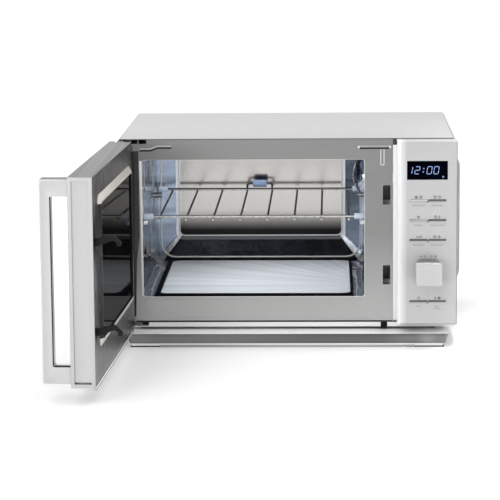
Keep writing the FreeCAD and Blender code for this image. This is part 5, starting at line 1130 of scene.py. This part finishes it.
# Rear: pan-head screws, with painted shade for their cross recesses
def islands(node):
    """The lowest and highest corner of each separate solid of a node, in millimetres."""
    shape = welded(node)
    bmesh.ops.transform(shape, matrix=OVEN.inverted(), verts=shape.verts)
    left = set(shape.verts)
    boxes = []
    while left:
        queue = [left.pop()]
        found = []
        while queue:
            vert = queue.pop()
            found.append(vert.co.copy())
            near = left.intersection(edge.other_vert(vert) for edge in vert.link_edges)
            left -= near
            queue += near
        boxes.append((Vector(map(min, zip(*found))), Vector(map(max, zip(*found)))))
    shape.free()
    return boxes


def rear_screws():
    spots = [((low.x + high.x) / 2, high.y, (low.z + high.z) / 2) for low, high in islands("rear_screws")]
    profile = ((4.0, -2.0), (4.0, -1.1), (3.6, -0.5), (2.9, -0.15), (2.4, -0.08))
    rings = [at_depth(circle(0, 0, reach, 16), depth) for reach, depth in profile]
    zinc = FINISHES["screw_zinc"]
    heads = scatter(spots, mesh_of(hooped(rings), None, zinc), zinc, OVEN)
    piece("rear_screw_heads", heads, "oven", ("rear_screws",))
    arm, half = 1.9, 0.42
    # Painted shade: dark crosses stand for the recesses in the heads
    cross = bmesh.new()
    prism(cross, [(half, half), (half, arm), (-half, arm), (-half, half), (-arm, half), (-arm, -half), (-half, -half),
                  (-half, -arm), (half, -arm), (half, -half), (arm, -half), (arm, half)], -0.4, -0.01)
    crosses = scatter(spots, mesh_of(cross, None, PAINTED_SHADOW), PAINTED_SHADOW, OVEN)
    piece("rear_screw_crosses", crosses, "oven", smooth=0)


rear_screws()

# Plinth: rolled lip along its lower front edge in painted light, and a strip of painted shade in the gap under it
lip = [(-205.0, -29.0, 4.0), (205.0, -29.0, 4.0)]
wire_piece("plinth_lip", [lip], 1.8, 0.0, LEDGE_PAINTED_LIGHT, sides=12)
gap_shade = (box(-170, 170, 0.5, 3.5), -30.6, -29.2)
slabs("plinth_skirt", FINISHES["door_paint"], "oven", "plinth_paint", OVEN, gap_shade)


def foot_soles():
    """Thin dark strips under the feet, as painted contact shadow."""
    contact_shadows = []
    for low, high in islands("feet"):
        outline = rounded(low.x + 0.3, high.x - 0.3, 0.05, 1.5, 0.3, steps=2)
        contact_shadows.append((outline, low.y - 0.5, high.y - 0.3))
    slabs("foot_soles", PAINTED_SHADOW, "oven", "foot_plastic", OVEN, *contact_shadows)


foot_soles()

# Studio: pale floor, soft light and the camera of the photograph
FLOOR_SIZE = 30.0
CAMERA_SPOT = (59.736, -3093.011, 627.269)
CAMERA_YAW, CAMERA_PITCH, CAMERA_ROLL = -2.0195, 9.1927, -0.4772
CAMERA_LENS, CAMERA_SENSOR = 168.383, 36.0


def studio():
    """A paper floor under pale air that brightens upward and is darker above the front."""
    shape = bmesh.new()
    bmesh.ops.create_grid(shape, x_segments=8, y_segments=8, size=FLOOR_SIZE)
    paper = Finish("studio_paper", Roughness=0.9, Specular_IOR_Level=0.2)
    paper.paint(paper.mix(paper.noise(3), shade(0.945), shade(0.975)))
    floor = new_object("studio_floor", mesh_of(shape, None, paper.material))

    world = bpy.data.worlds.new("studio_air")
    world.use_nodes = True
    bpy.context.scene.world = world
    air = Nodes(world.node_tree)
    way = air.add("ShaderNodeTexCoord").outputs["Generated"]
    height = air.add("ShaderNodeSeparateXYZ", {"Vector": way}).outputs["Z"]
    front = air.add("ShaderNodeVectorMath", {0: way, 1: (0.0, -0.95, 0.3)}, operation="DOT_PRODUCT").outputs["Value"]
    shares = {0: air.ramp(height, 0.95, 1.3, 0.0, 0.6), 1: air.ramp(front, 1.0, 0.03, 0.55, 0.85)}
    strength = air.add("ShaderNodeMath", shares, operation="MULTIPLY").outputs["Value"]
    sky = air.tree.nodes["Background"].inputs
    sky["Color"].default_value = (1, 1, 1, 1)
    air.join(strength, sky["Strength"])


def soft_light(name, spot, target, width, height, power, seen=True, beam=180):
    lamp = bpy.data.lights.new(name, "AREA")
    lamp.shape = "RECTANGLE"
    lamp.size = width
    lamp.size_y = height
    lamp.energy = power
    lamp.spread = math.radians(beam)
    made = new_object(name, lamp)
    made.location = spot
    made.visible_glossy = seen
    made.rotation_euler = (Vector(target) - Vector(spot)).to_track_quat("-Z", "Y").to_euler()


def camera():
    lens = bpy.data.cameras.new("photo_camera")
    lens.sensor_width = CAMERA_SENSOR
    lens.lens = CAMERA_LENS
    made = new_object("photo_camera", lens)
    place = Matrix.Translation(OVEN @ Vector(CAMERA_SPOT))
    for axis, turn in (("Z", -CAMERA_YAW), ("X", 90 - CAMERA_PITCH), ("Z", CAMERA_ROLL)):
        place = place @ Matrix.Rotation(math.radians(turn), 4, axis)
    made.matrix_world = place
    bpy.context.scene.camera = made


studio()
soft_light("top_softbox", (-0.3, -0.6, 3.0), (0, 0, 0.1), 3.0, 3.0, 8)
soft_light("front_softbox", (-0.9, -2.9, 2.4), (0, 0, 0.15), 1.8, 1.6, 44)
soft_light("side_softbox", (2.6, -1.6, 1.8), (0.25, 0, 0.05), 1.6, 2.0, 11)
soft_light("floor_softbox", (0.64, -0.02, 1.2), (0.72, -0.02, 0), 0.4, 0.7, 2.6, seen=False, beam=30)
soft_light("low_softbox", (-1.3, -2.5, 0.4), (0.05, 0, 0.1), 1.2, 0.6, 14)
oven_roof, oven_floor = (OVEN @ Vector((-45, 160, z)) for z in (247, 60))
soft_light("oven_lamp_fill", oven_roof, oven_floor, 0.24, 0.24, 0.46, seen=False)
camera()
bpy.context.scene.view_settings.view_transform = "Standard"
